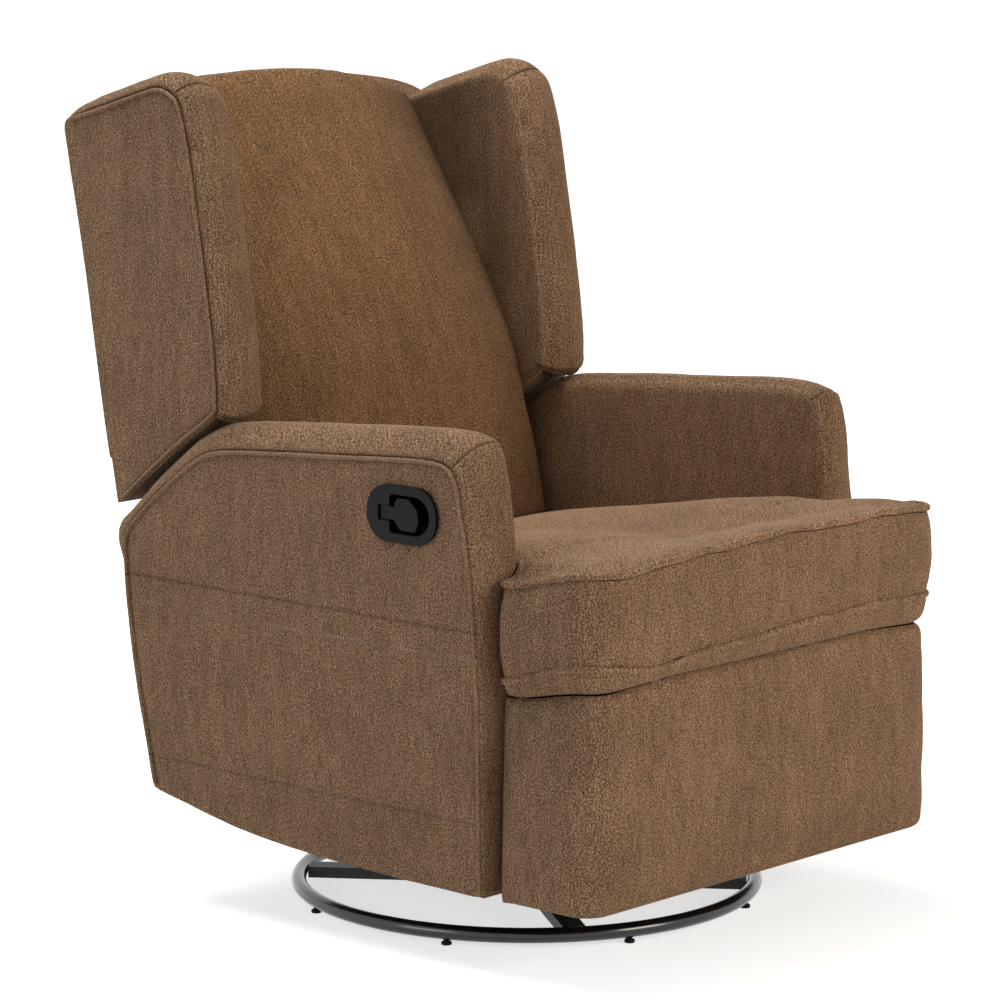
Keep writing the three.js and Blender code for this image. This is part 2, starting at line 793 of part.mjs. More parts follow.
// Seat side plates: they carry the linkage and the back, and slide in the base rails on two guide pins
const drive = new THREE.Vector2(linkage.driveY, linkage.driveZ);
const support = drive.clone().add(new THREE.Vector2(linkage.supportRun, -linkage.supportDrop));
const hinge = new THREE.Vector2(backHinge.y, backHinge.z);
const seatPlateInner = seatPlate.outerX - seatPlate.thickness;
for (const { side, hand } of sides) {
  const outline = polygon([
    [seatPlate.frontY, seatPlate.waistZ + linkage.width / 2],
    [seatPlate.frontY + linkage.width, seatPlate.waistZ],
    [support.x - linkage.width, seatPlate.waistZ - linkage.width / 2],
    [guide.frontY - linkage.width, seatPlate.lowZ],
    [guide.rearY + linkage.width, seatPlate.lowZ],
    [backHinge.y + backHinge.eye, backHinge.z - backHinge.eye],
    [seatPlate.rearY, backHinge.z],
    [seatPlate.rearY - linkage.width / 2, seatPlate.highZ],
    [seatPlate.frontY, seatPlate.highZ],
  ]);
  const wall = prism(outline, "x", side * seatPlateInner, side * seatPlate.outerX);
  const pins = guideYs.map((y) => {
    const root = seatPlate.outerX - seatPlate.thickness / 2;
    return rod("x", y, guide.z, guide.radius, side * root, side * (baseRailOuter - clearance));
  });
  const reach = [side * (seatPlateInner - overrun), side * (seatPlate.outerX + overrun)];
  const holes = [
    rod("x", drive.x, drive.y, linkage.pinRadius + clearance, ...reach),
    rod("x", support.x, support.y, linkage.pinRadius + clearance, ...reach),
    rod("x", hinge.x, hinge.y, backHinge.pinRadius + clearance, ...reach),
  ];
  add(`seat_plate_${hand}`, cut(join(wall, ...pins), ...holes), blackSteel);
}

// Seat frame: a timber box between the side plates
const seatFrameHalf = seatPlateInner - clearance;
const seatFrameInside = seatFrameHalf - seatFrame.rail;
add(
  "seat_frame",
  cut(
    block(-seatFrameHalf, seatFrameHalf, seatFrame.frontY, seatFrame.rearY, seatFrame.lowZ, seatFrame.highZ),
    block(
      -seatFrameInside,
      seatFrameInside,
      seatFrame.frontY + seatFrame.rail,
      seatFrame.rearY - seatFrame.rail,
      seatFrame.lowZ - overrun,
      seatFrame.highZ + overrun,
    ),
  ),
  timber,
);

// Sinuous springs run from the front rail of the seat frame to the rear one
class SinuousCurve extends THREE.Curve {
  constructor(x, from, to) {
    super();
    Object.assign(this, { x, from, to });
  }

  getPoint(t) {
    const ease = Math.min(1, t * spring.waves, (1 - t) * spring.waves);
    const sway = spring.amplitude * ease * Math.sin(t * spring.waves * Math.PI * 2);
    return new THREE.Vector3(this.x + sway, THREE.MathUtils.lerp(this.from, this.to, t), spring.z);
  }
}
const wireSection = new THREE.Shape(
  Array.from({ length: spring.sides }, (_, i) => {
    const angle = (i / spring.sides) * Math.PI * 2;
    return new THREE.Vector2(spring.wire * Math.cos(angle), spring.wire * Math.sin(angle));
  }),
);
for (let i = 0; i < spring.count; i += 1) {
  const x = (i - (spring.count - 1) / 2) * spring.pitch;
  const from = seatFrame.frontY + seatFrame.rail + clearance;
  const to = seatFrame.rearY - seatFrame.rail - clearance;
  const geometry = new THREE.ExtrudeGeometry(wireSection, {
    steps: spring.steps,
    extrudePath: new SinuousCurve(x, from, to),
    bevelEnabled: false,
  });
  add(`seat_spring_${i + 1}`, geometry, zincSteel);
}

// Seat cushion: T-shaped, its ears in front of the arms, crowned on top with a padded lip under the front
function cushionOutline() {
  const shape = new THREE.Shape();
  const { halfWidth, earHalfWidth, frontY, frontBow, earRearY, rearY, corner } = cushion;
  shape.moveTo(0, frontY - frontBow);
  shape.quadraticCurveTo(earHalfWidth / 2, frontY - frontBow, earHalfWidth - corner, frontY);
  shape.quadraticCurveTo(earHalfWidth, frontY, earHalfWidth, frontY + corner);
  shape.lineTo(earHalfWidth, earRearY - corner / 4);
  shape.quadraticCurveTo(earHalfWidth, earRearY, earHalfWidth - corner / 4, earRearY);
  shape.lineTo(halfWidth, earRearY);
  shape.lineTo(halfWidth, rearY - corner / 2);
  shape.quadraticCurveTo(halfWidth, rearY, halfWidth - corner / 2, rearY);
  shape.lineTo(0, rearY);
  const half = shape.getPoints(6);
  const mirrored = half.slice(1, -1).reverse().map((point) => new THREE.Vector2(-point.x, point.y));
  return [...half, ...mirrored];
}
const cushionCoreX = cushion.halfWidth * 0.6;
const cushionSolid = padded({
  outline: cushionOutline(),
  place: (point, share, lift) => {
    const sag = cushion.frontBow * (point.x / cushion.earHalfWidth) ** 2;
    const seamZ = THREE.MathUtils.lerp(cushion.lowSeamZ, cushion.topSeamZ, share);
    return new THREE.Vector3(point.x, point.y, seamZ + cushion.frontBow - sag + lift);
  },
  core: (point) =>
    new THREE.Vector2(
      THREE.MathUtils.clamp(point.x, -cushionCoreX, cushionCoreX),
      THREE.MathUtils.clamp(point.y, cushion.frontY * 0.7, cushion.rearY * 0.3),
    ),
  border: cushion.border,
  low: cushion.lipDrop + cushion.frontBow,
  high: cushion.topCrown,
  fullness: cushion.fullness,
  weight: (point) => (point.y < cushion.earRearY - cushion.corner / 2 ? 1 : 0),
});
const underCushion = block(
  -cushion.earHalfWidth,
  cushion.earHalfWidth,
  footrest.rearY,
  cushion.rearY + cushion.corner,
  seatFrame.highZ - cushion.lipDrop * 2,
  seatFrame.highZ + clearance,
);
const lipTrim = block(
  -cushion.earHalfWidth - cushion.corner,
  cushion.earHalfWidth + cushion.corner,
  cushion.frontY - cushion.corner,
  cushion.rearY + cushion.corner,
  footrest.highZ - cushion.lipDrop,
  footrest.highZ + footrest.faceCrown + clearance,
);
add("seat_cushion", cut(cushionSolid, underCushion, lipTrim), fabric);

// Back frame: posts and rails that lie along the raked outside back
function rearY(z) {
  return rear.y + (z - rear.z) * rear.rake;
}
const backBack = -clearance;
const backFront = backBack - backFrame.thickness;
const frameSide = (offset) => [
  [rearY(backFrame.lowZ) + offset, backFrame.lowZ],
  [rearY(backFrame.highZ) + offset, backFrame.highZ],
];
const [frameRearLow, frameRearHigh] = frameSide(backBack);
const [frameFrontLow, frameFrontHigh] = frameSide(backFront);
const frameSheet = prism(
  polygon([frameFrontLow, frameRearLow, frameRearHigh, frameFrontHigh]),
  "x",
  -backFrame.halfWidth,
  backFrame.halfWidth,
);
const frameHeight = backFrame.highZ - backFrame.lowZ;
const bayHeight = (frameHeight - backFrame.railHeight * (backFrame.railCount + 1)) / backFrame.railCount;
const bays = Array.from({ length: backFrame.railCount }, (_, i) => {
  const low = backFrame.lowZ + backFrame.railHeight + i * (bayHeight + backFrame.railHeight);
  const half = backFrame.halfWidth - backFrame.post;
  return block(-half, half, backHinge.y, rearY(backFrame.highZ) + overrun, low, low + bayHeight);
});
add("back_frame", cut(frameSheet, ...bays), timber);

// Back cushion: a lofted pad, deep at the lumbar and thin at its rolled top edge
const backFrontShares = [
  [0.0, 0.0],
  [0.022, 0.053],
  [0.082, 0.175],
  [0.147, 0.269],
  [0.217, 0.389],
  [0.324, 0.495],
  [0.467, 0.613],
  [0.61, 0.719],
  [0.754, 0.825],
  [0.897, 0.928],
  [1.0, 1.0],
];
function backProfile(x) {
  const shareOut = Math.abs(x) / backCushion.halfWidth;
  const topZ = THREE.MathUtils.lerp(backCushion.middleTopZ, backCushion.sideTopZ, shareOut ** 2.4);
  const crown = backCushion.frontCrown * (1 - shareOut ** 4);
  const front = backFrontShares.map(([depth, height]) => {
    const swell = crown * Math.sin(Math.PI * Math.min(height + 0.12, 1)) ** 0.6;
    const y = THREE.MathUtils.lerp(backCushion.lowY, backCushion.topY, depth) - swell;
    return [y, THREE.MathUtils.lerp(backCushion.lowZ, topZ, height)];
  });
  const overFrame = backFrame.highZ + backFrame.railHeight / 6;
  const { lowZ } = backCushion;
  const back = [
    [rearY(topZ) - backFrame.thickness * 0.6, topZ - backFrame.thickness * 0.15],
    [rearY(topZ - backFrame.thickness) - clearance, topZ - backFrame.thickness],
    [rearY(overFrame) - clearance, overFrame],
    [rearY(overFrame) + backFront - clearance, overFrame],
    [rearY(lowZ + backFrame.post) + backFront - clearance, lowZ + backFrame.post],
    [rearY(lowZ) + backFront - clearance - backFrame.post, lowZ],
  ];
  return [...front, ...back].map(([y, z]) => new THREE.Vector3(x, y, z));
}
const backRings = Array.from({ length: backCushion.steps + 1 }, (_, i) => {
  const share = -Math.cos((i / backCushion.steps) * Math.PI);
  return backProfile(share * backCushion.halfWidth);
});
add("back_cushion", loft(backRings, (point) => new THREE.Vector2(point.y, point.z)), fabric);

// Wings: shares of the wing's depth and height, from its rear foot up the back edge and round to the front
const wingStretchShares = [
  [
    [0.67, 0.01],
    [0.78, 0.335],
    [0.883, 0.618],
    [0.99, 0.885],
  ],
  [
    [0.99, 0.885],
    [0.955, 0.915],
    [0.777, 0.941],
    [0.464, 0.989],
    [0.357, 1],
    [0.268, 0.986],
    [0.21, 0.95],
    [0.144, 0.817],
    [0.072, 0.599],
    [0.014, 0.398],
    [0, 0.281],
    [0.02, 0.24],
    [0.23, 0.163],
    [0.433, 0.086],
    [0.6, 0.02],
    [0.67, 0.01],
  ],
];
const wingOutline = outlineFrom(wingStretchShares, wing.frontY, wing.lowZ, wing.depth, wing.height);
const wingCentre = new THREE.Vector2(wing.frontY + wing.depth * 0.45, wing.lowZ + wing.height * 0.6);
for (const { side, hand } of sides) {
  const geometry = padded({
    outline: wingOutline,
    place: (point, share, lift) =>
      new THREE.Vector3(side * (wing.innerX + share * wing.thickness + lift), point.x, point.y),
    core: (point) => wingCentre.clone().lerp(point, 0.3),
    border: wing.crown,
    high: wing.sideCrown,
    weight: (point) => {
      const behind = rearY(point.y) - point.x;
      const clear = THREE.MathUtils.smoothstep(behind, 0, wing.crown * 3);
      const low = point.y < wing.lowZ + wing.height * 0.24 ? 0.1 : 1;
      return clear * low;
    },
  });
  const trim = prism(
    polygon([
      [rearY(wing.lowZ - wing.crown) - clearance, wing.lowZ - wing.crown],
      [rearY(wing.lowZ) + wing.depth, wing.lowZ - wing.crown],
      [rearY(wing.lowZ) + wing.depth, wing.lowZ + wing.height * 1.2],
      [rearY(wing.lowZ + wing.height * 1.2) - clearance, wing.lowZ + wing.height * 1.2],
    ]),
    "x",
    side * (wing.innerX - wing.crown),
    side * (wing.innerX + wing.thickness + wing.crown),
  );
  add(`wing_${hand}`, cut(geometry, trim), fabric);
}

// Back cover: a crowned outside back, narrow between the arms and wide behind the wings, with an arched top.
// Shares of its height, half width and crown, from the bottom up
const coverShares = [
  [0, 0.83, 0.3],
  [0.05, 0.83, 0.75],
  [0.16, 0.83, 1],
  [0.35, 0.83, 1],
  [0.375, 0.85, 1],
  [0.395, 0.92, 1],
  [0.415, 0.985, 1],
  [0.44, 1, 1],
  [0.64, 0.992, 1],
  [0.84, 0.978, 0.95],
  [0.93, 0.968, 0.85],
  [0.955, 0.93, 0.8],
  [0.975, 0.78, 0.7],
  [0.99, 0.52, 0.6],
  [1, 0.24, 0.5],
];
const coverAcross = Array.from({ length: wideSteps + 1 }, (_, i) => (i / wideSteps) * 2 - 1);
const coverRings = coverShares.map(([height, width, crown]) => {
  const z = THREE.MathUtils.lerp(backCover.lowZ, backCover.topZ + backCover.topCrown, height);
  const front = rearY(z) + clearance;
  const half = backCover.halfWidth * width;
  const outside = coverAcross.map((across) => {
    const bulge = backCover.crown * crown * (1 - Math.abs(across) ** 2.4);
    return new THREE.Vector3(across * half, front + backCover.edge + bulge, z);
  });
  return [new THREE.Vector3(-half, front, z), ...outside, new THREE.Vector3(half, front, z)];
});
add("back_cover", loft(coverRings), fabric);

// Back brackets: gussets on the frame's posts with a hinge pin in each seat plate
for (const { side, hand } of sides) {
  const inner = backFrame.halfWidth + clearance;
  const outer = inner + backBracket.thickness;
  const footZ = backFrame.lowZ + backBracket.arm / 3;
  const headZ = backFrame.lowZ + backBracket.arm * 5;
  const gusset = polygon([
    [hinge.x - backHinge.eye, hinge.y],
    [hinge.x, hinge.y - backHinge.eye],
    [rearY(footZ) + backFront, footZ],
    [rearY(footZ) - overrun, footZ],
    [rearY(headZ) - overrun, headZ],
    [rearY(headZ) + backFront, headZ],
    [hinge.x + backHinge.eye, hinge.y + backHinge.eye],
    [hinge.x, hinge.y + backHinge.eye],
  ]);
  const plate = prism(gusset, "x", side * inner, side * outer);
  const [shoulder, pinEnd] = [seatPlateInner - clearance, seatPlate.outerX + overrun / 2];
  const collar = rod("x", hinge.x, hinge.y, backHinge.eye * 0.7, side * inner, side * shoulder);
  const pin = rod("x", hinge.x, hinge.y, backHinge.pinRadius, side * inner, side * pinEnd);
  add(`back_bracket_${hand}`, join(plate, collar, pin), blackSteel);
}

// Footrest linkage: two parallelograms on each side. The drive link, fixed to the torque tube, and the
// support link carry the ottoman link, which keeps its angle as it moves out. The drive link's short crank
// and the front link turn the bracket as far as the drive link, so the box swings about the virtual pivot
const ottoman = new THREE.Vector2(linkage.ottomanY, linkage.ottomanZ);
const virtual = new THREE.Vector2(linkage.virtualY, linkage.virtualZ);
const driveArm = ottoman.clone().sub(virtual);
const knee = drive.clone().add(driveArm);
const supportEnd = support.clone().add(driveArm);
const crankArm = new THREE.Vector2(Math.sin(linkage.crankTilt), -Math.cos(linkage.crankTilt));
crankArm.multiplyScalar(linkage.crank);
const crankPin = knee.clone().add(crankArm);
const bracketPin = ottoman.clone().add(crankArm);

function layer(n) {
  const outer = seatPlateInner - linkage.pitch * n + linkage.pitch - (linkage.pitch - linkage.thickness);
  return { outer, inner: outer - linkage.thickness };
}
function strap(side, n, points) {
  const { inner, outer } = layer(n);
  return points.slice(1).map((point, i) => {
    return prism(bar(points[i], point, linkage.width / 2), "x", side * inner, side * outer);
  });
}
// A shouldered pin from the layer that carries it to the layer that turns on it
function pinTo(side, point, from, to) {
  const inward = to > from;
  const start = inward ? layer(from).outer : layer(from).inner;
  const shoulder = inward ? layer(to).outer + clearance : layer(to).inner - clearance;
  const end = inward ? layer(to).inner - clearance * 2 : layer(to).outer + clearance * 2;
  return [
    rod("x", point.x, point.y, linkage.bossRadius, side * start, side * shoulder),
    rod("x", point.x, point.y, linkage.pinRadius, side * start, side * end),
  ];
}
function eyeIn(side, point, n, slack) {
  const [inner, outer] = [layer(n).inner - overrun, layer(n).outer + overrun];
  return rod("x", point.x, point.y, linkage.pinRadius + slack, side * inner, side * outer);
}

for (const { side, hand } of sides) {
  const toPlate = (point, n) => {
    const from = side * layer(n).inner;
    return [
      rod("x", point.x, point.y, linkage.bossRadius, from, side * (seatPlateInner - clearance)),
      rod("x", point.x, point.y, linkage.pinRadius, from, side * (seatPlate.outerX + overrun / 2)),
    ];
  };
  add(
    `drive_link_${hand}`,
    join(
      ...strap(side, 2, [drive, knee, crankPin]),
      ...toPlate(drive, 2),
      ...pinTo(side, knee, 2, 3),
      ...pinTo(side, crankPin, 2, 4),
    ),
    zincSteel,
  );
  add(
    `support_link_${hand}`,
    join(...strap(side, 1, [support, supportEnd]), ...toPlate(support, 1), ...pinTo(side, supportEnd, 1, 3)),
    zincSteel,
  );
  add(
    `ottoman_link_${hand}`,
    cut(
      join(...strap(side, 3, [supportEnd, knee, ottoman]), ...pinTo(side, ottoman, 3, 5)),
      eyeIn(side, knee, 3, clearance),
      eyeIn(side, supportEnd, 3, linkage.openClearance),
    ),
    zincSteel,
  );
  add(
    `front_link_${hand}`,
    cut(
      join(...strap(side, 4, [crankPin, bracketPin]), ...pinTo(side, bracketPin, 4, 5)),
      eyeIn(side, crankPin, 4, clearance),
    ),
    zincSteel,
  );

  // Footrest bracket: an angle bolted to the board, with the two pivots of the box
  const boardRear = footrest.frontY + footrest.pad + clearance + board.thickness;
  const { inner, outer } = layer(5);
  const lowZ = bracketPin.y - linkage.width;
  const highZ = ottoman.y + linkage.width * 0.7;
  const ear = prism(
    polygon([
      [boardRear + clearance, lowZ],
      [bracketPin.x + linkage.width * 0.4, lowZ + linkage.width * 0.5],
      [bracketPin.x + linkage.width * 0.6, bracketPin.y + linkage.width * 0.4],
      [ottoman.x + linkage.width * 0.6, highZ],
      [boardRear + clearance, highZ],
    ]),
    "x",
    side * inner,
    side * outer,
  );
  const flange = block(
    side * (inner - linkage.width),
    side * outer,
    boardRear + clearance,
    boardRear + clearance + linkage.thickness,
    lowZ,
    highZ,
  );
  add(
    `footrest_bracket_${hand}`,
    cut(
      join(ear, flange),
      eyeIn(side, ottoman, 5, clearance),
      eyeIn(side, bracketPin, 5, linkage.openClearance),
    ),
    zincSteel,
  );
}

// Torque tube: ties the two drive links together on their own pivot line
const tubeReach = layer(2).inner - clearance;
const tubeBore = torqueTube.radius - torqueTube.wall;
add(
  "torque_tube",
  cut(
    rod("x", drive.x, drive.y, torqueTube.radius, -tubeReach, tubeReach),
    rod("x", drive.x, drive.y, tubeBore, -tubeReach - overrun, tubeReach + overrun),
  ),
  zincSteel,
);

// Footrest: a padded box, open behind for the linkage, on a timber board
function boxOutline() {
  const { halfWidth, frontY, rearY: back, corner } = footrest;
  const shape = new THREE.Shape();
  shape.moveTo(0, frontY);
  shape.lineTo(halfWidth - corner, frontY);
  shape.absarc(halfWidth - corner, frontY + corner, corner, -Math.PI / 2, 0);
  shape.lineTo(halfWidth, back);
  shape.lineTo(0, back);
  const half = shape.getPoints(6);
  const mirrored = half.slice(1, -1).reverse().map((point) => new THREE.Vector2(-point.x, point.y));
  return [...half, ...mirrored];
}
const boxCoreX = footrest.halfWidth - footrest.corner * 2;
const boxTaper = footrest.border / footrest.halfWidth;
const boxSolid = padded({
  outline: boxOutline(),
  place: (point, share, lift) => {
    const narrow = 1 - boxTaper * share;
    const [low, high] = [footrest.lowZ + footrest.faceCrown, footrest.highZ - footrest.faceCrown];
    const z = THREE.MathUtils.lerp(low, high, share) + lift;
    return new THREE.Vector3(point.x * narrow, Math.min(point.y, footrest.rearY), z);
  },
  core: (point) =>
    new THREE.Vector2(
      THREE.MathUtils.clamp(point.x, -boxCoreX, boxCoreX),
      THREE.MathUtils.clamp(point.y, footrest.frontY + footrest.corner * 1.3, footrest.rearY),
    ),
  border: footrest.border,
  low: footrest.faceCrown,
  high: footrest.faceCrown,
  weight: (point) => (point.y < footrest.rearY - footrest.corner ? 1 : 0),
});
const cavityHalf = footrest.halfWidth - footrest.side;
const padBack = footrest.frontY + footrest.pad;
const cavity = block(
  -cavityHalf,
  cavityHalf,
  padBack,
  footrest.rearY + overrun,
  footrest.lowZ + footrest.floor,
  footrest.highZ + overrun,
);
add("footrest_pad", cut(boxSolid, cavity), fabric);
add(
  "footrest_board",
  block(
    -cavityHalf + board.margin,
    cavityHalf - board.margin,
    padBack + clearance,
    padBack + clearance + board.thickness,
    footrest.lowZ + footrest.floor + clearance,
    footrest.highZ - board.margin * 2,
  ),
  timber,
);

// The origin stands on the floor under the middle of the chair's overall box
const overall = new THREE.Box3().setFromObject(chair);
chair.position.set(0, -(overall.min.y + overall.max.y) / 2, -overall.min.z);
chair.updateMatrixWorld(true);

export default chair;
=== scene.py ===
# Looks of the swivel glider recliner. Shapes are worked out in millimetres from the swivel axis, and stored in
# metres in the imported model's frame
import json
import math

import bpy
import numpy as np
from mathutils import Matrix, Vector, noise
from mathutils.geometry import tessellate_polygon
from mathutils.kdtree import KDTree

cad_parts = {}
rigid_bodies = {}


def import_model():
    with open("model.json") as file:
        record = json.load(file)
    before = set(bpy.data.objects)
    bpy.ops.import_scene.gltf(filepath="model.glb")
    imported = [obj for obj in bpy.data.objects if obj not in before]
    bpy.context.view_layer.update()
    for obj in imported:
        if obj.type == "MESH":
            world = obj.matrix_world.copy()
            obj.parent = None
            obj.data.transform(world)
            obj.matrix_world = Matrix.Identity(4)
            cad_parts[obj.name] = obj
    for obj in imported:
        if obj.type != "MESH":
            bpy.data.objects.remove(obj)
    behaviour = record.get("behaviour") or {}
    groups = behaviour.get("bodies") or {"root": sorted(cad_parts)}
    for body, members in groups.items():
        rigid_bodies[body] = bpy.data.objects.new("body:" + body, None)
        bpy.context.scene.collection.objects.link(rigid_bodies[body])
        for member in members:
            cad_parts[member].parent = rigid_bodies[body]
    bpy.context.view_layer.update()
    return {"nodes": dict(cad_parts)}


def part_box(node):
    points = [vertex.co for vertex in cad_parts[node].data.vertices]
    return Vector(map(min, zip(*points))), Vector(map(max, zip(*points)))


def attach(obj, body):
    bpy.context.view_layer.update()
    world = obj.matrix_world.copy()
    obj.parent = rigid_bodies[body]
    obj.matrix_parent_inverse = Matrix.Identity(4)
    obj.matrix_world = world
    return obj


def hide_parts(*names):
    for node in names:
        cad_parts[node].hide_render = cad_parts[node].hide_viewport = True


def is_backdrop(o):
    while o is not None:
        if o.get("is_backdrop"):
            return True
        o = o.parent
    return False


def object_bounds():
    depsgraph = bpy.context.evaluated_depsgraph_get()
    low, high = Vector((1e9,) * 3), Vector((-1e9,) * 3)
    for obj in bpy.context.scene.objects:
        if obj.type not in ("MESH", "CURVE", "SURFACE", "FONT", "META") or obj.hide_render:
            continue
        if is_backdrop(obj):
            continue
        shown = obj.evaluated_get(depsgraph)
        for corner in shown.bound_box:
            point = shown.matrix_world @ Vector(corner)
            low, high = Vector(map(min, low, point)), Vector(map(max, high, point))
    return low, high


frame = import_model()
ring_low, ring_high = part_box("base_ring")
SHIFT = np.array([0.0, (ring_low.y + ring_high.y) / 2 * 1000, 0.0])
MM = 0.001


# ---- Materials ----
class Graph:
    """The nodes of a material or a world under construction."""

    def __init__(self, owner):
        owner.use_nodes = True
        self.owner = owner
        self.nodes, self.links = owner.node_tree.nodes, owner.node_tree.links

    def node(self, kind, inputs, **settings):
        node = self.nodes.new("ShaderNode" + kind)
        for key, value in settings.items():
            setattr(node, key, value)
        for key, value in inputs.items():
            self.feed(node.inputs[key], value)
        return node

    def feed(self, socket, value):
        if isinstance(value, bpy.types.NodeSocket):
            self.links.new(value, socket)
        elif isinstance(value, tuple) and len(value) == 3 and len(socket.default_value) == 4:
            socket.default_value = (*value, 1)
        else:
            socket.default_value = value

    def maths(self, kind, a, b=0.0, c=0.0):
        return self.node("Math", {0: a, 1: b, 2: c}, operation=kind).outputs[0]

    def place(self):
        """Where the shaded point lies on its own piece, in metres."""
        return self.node("TexCoord", {}).outputs["Object"]

    def background_rays(self):
        """1 for the rays that show the background: from the camera, and by way of metal or glass."""
        rays = self.node("LightPath", {}).outputs
        shown = rays["Is Camera Ray"]
        for name in ("Is Glossy Ray", "Is Transmission Ray"):
            shown = self.maths("MAXIMUM", shown, rays[name])
        return shown

    def total(self, *parts):
        """The sum of (value, weight) pairs."""
        result = 0.0
        for value, weight in parts:
            result = self.maths("MULTIPLY_ADD", value, weight, result)
        return result

    def stretched(self, vector, *scale):
        scale = (*scale, 1)[:3]
        return self.node("Mapping", {"Vector": vector, "Scale": scale}).outputs[0]

    def noise(self, vector, detail=2.0, roughness=0.5, scale=1.0, flat=False, distortion=0.0):
        values = {"Vector": vector, "Scale": scale, "Detail": detail, "Roughness": roughness, "Distortion": distortion}
        return self.node("TexNoise", values, noise_dimensions="2D" if flat else "3D").outputs[0]

    def ramp(self, source, *stops):
        node = self.node("ValToRGB", {0: source})
        while len(node.color_ramp.elements) < len(stops):
            node.color_ramp.elements.new(0.5)
        for element, (place, color) in zip(node.color_ramp.elements, stops):
            element.position = place
            element.color = (color, color, color, 1) if isinstance(color, (int, float)) else (*color, 1)
        return node.outputs[0]

    def mix(self, factor, a, b, blend="MIX"):
        node = self.node("Mix", {}, data_type="RGBA", blend_type=blend)
        for index, value in ((0, factor), (6, a), (7, b)):
            self.feed(node.inputs[index], value)
        return node.outputs[2]

    def bump(self, height, distance, strength):
        return self.node("Bump", {"Height": height, "Distance": distance, "Strength": strength}).outputs[0]

    def surface(self, shader, output):
        self.links.new(shader.outputs[0], self.nodes[output].inputs["Surface"])


class Finish(Graph):
    """A material built on its Principled shader."""

    def __init__(self, name):
        super().__init__(bpy.data.materials.new(name))
        self.shader = self.nodes["Principled BSDF"]

    def set(self, **values):
        for name, value in values.items():
            self.feed(self.shader.inputs[name.replace("_", " ")], value)
        return self.owner


def tinted(color, share):
    return tuple(c * share for c in color)


FABRIC = (0.215, 0.127, 0.072)
# Height, least distance from the middle plane (both in metres), painted shade and thread of each seam of the side
# panels
SIDE_SEAMS = ((0.4395, 0.381, 1.0, 0.0), (0.405, 0.3795, 0.25, 1.0), (0.194, 0.3685, 0.8, 0.35))
SEAM_HALF, THREAD_HALF, STITCH_WAVE = 0.0016, 0.0009, 1250.0


def line_mask(graph, offset, half):
    """1 on a line and 0 beyond `half` from it."""
    return graph.ramp(graph.maths("ABSOLUTE", offset), (half * 0.2, 1.0), (half, 0.0))


def side_seams(graph, place):
    """The arms' side panels: faint level seams with painted shade along them, and their stitches. Gives the painted
    shade and how stitched a point is.
    """
    split = graph.node("SeparateXYZ", {0: place})
    wobble = graph.noise(graph.stretched(place, 0, 1, 0), detail=1.0, scale=14.0)
    outside = graph.maths("ABSOLUTE", split.outputs[0])
    forward = graph.ramp(graph.maths("MULTIPLY_ADD", split.outputs[1], 1.6, 0.5), (0.02, 1.0), (0.95, 0.55))
    dark, stitches = 0.0, 0.0
    for height, least, shade, thread in SIDE_SEAMS:
        offset = graph.maths("MULTIPLY_ADD", wobble, 0.004, -height - 0.002)
        offset = graph.maths("ADD", split.outputs[2], offset)
        panel = graph.maths("GREATER_THAN", outside, least)
        line = graph.maths("MULTIPLY", line_mask(graph, offset, SEAM_HALF), panel)
        dark = graph.maths("MULTIPLY_ADD", line, shade, dark)
        dash = graph.maths("SINE", graph.maths("MULTIPLY", split.outputs[1], STITCH_WAVE))
        dash = graph.ramp(dash, (0.1, 0.0), (0.35, 1.0))
        thin = graph.maths("MULTIPLY", line_mask(graph, offset, THREAD_HALF), panel)
        stitches = graph.maths("MULTIPLY_ADD", graph.maths("MULTIPLY", dash, thin), thread, stitches)
    worn = graph.ramp(graph.noise(place, scale=26.0, detail=1.0), (0.38, 0.15), (0.62, 1.0))
    return dark, graph.maths("MULTIPLY", graph.maths("MULTIPLY", stitches, worn), forward)


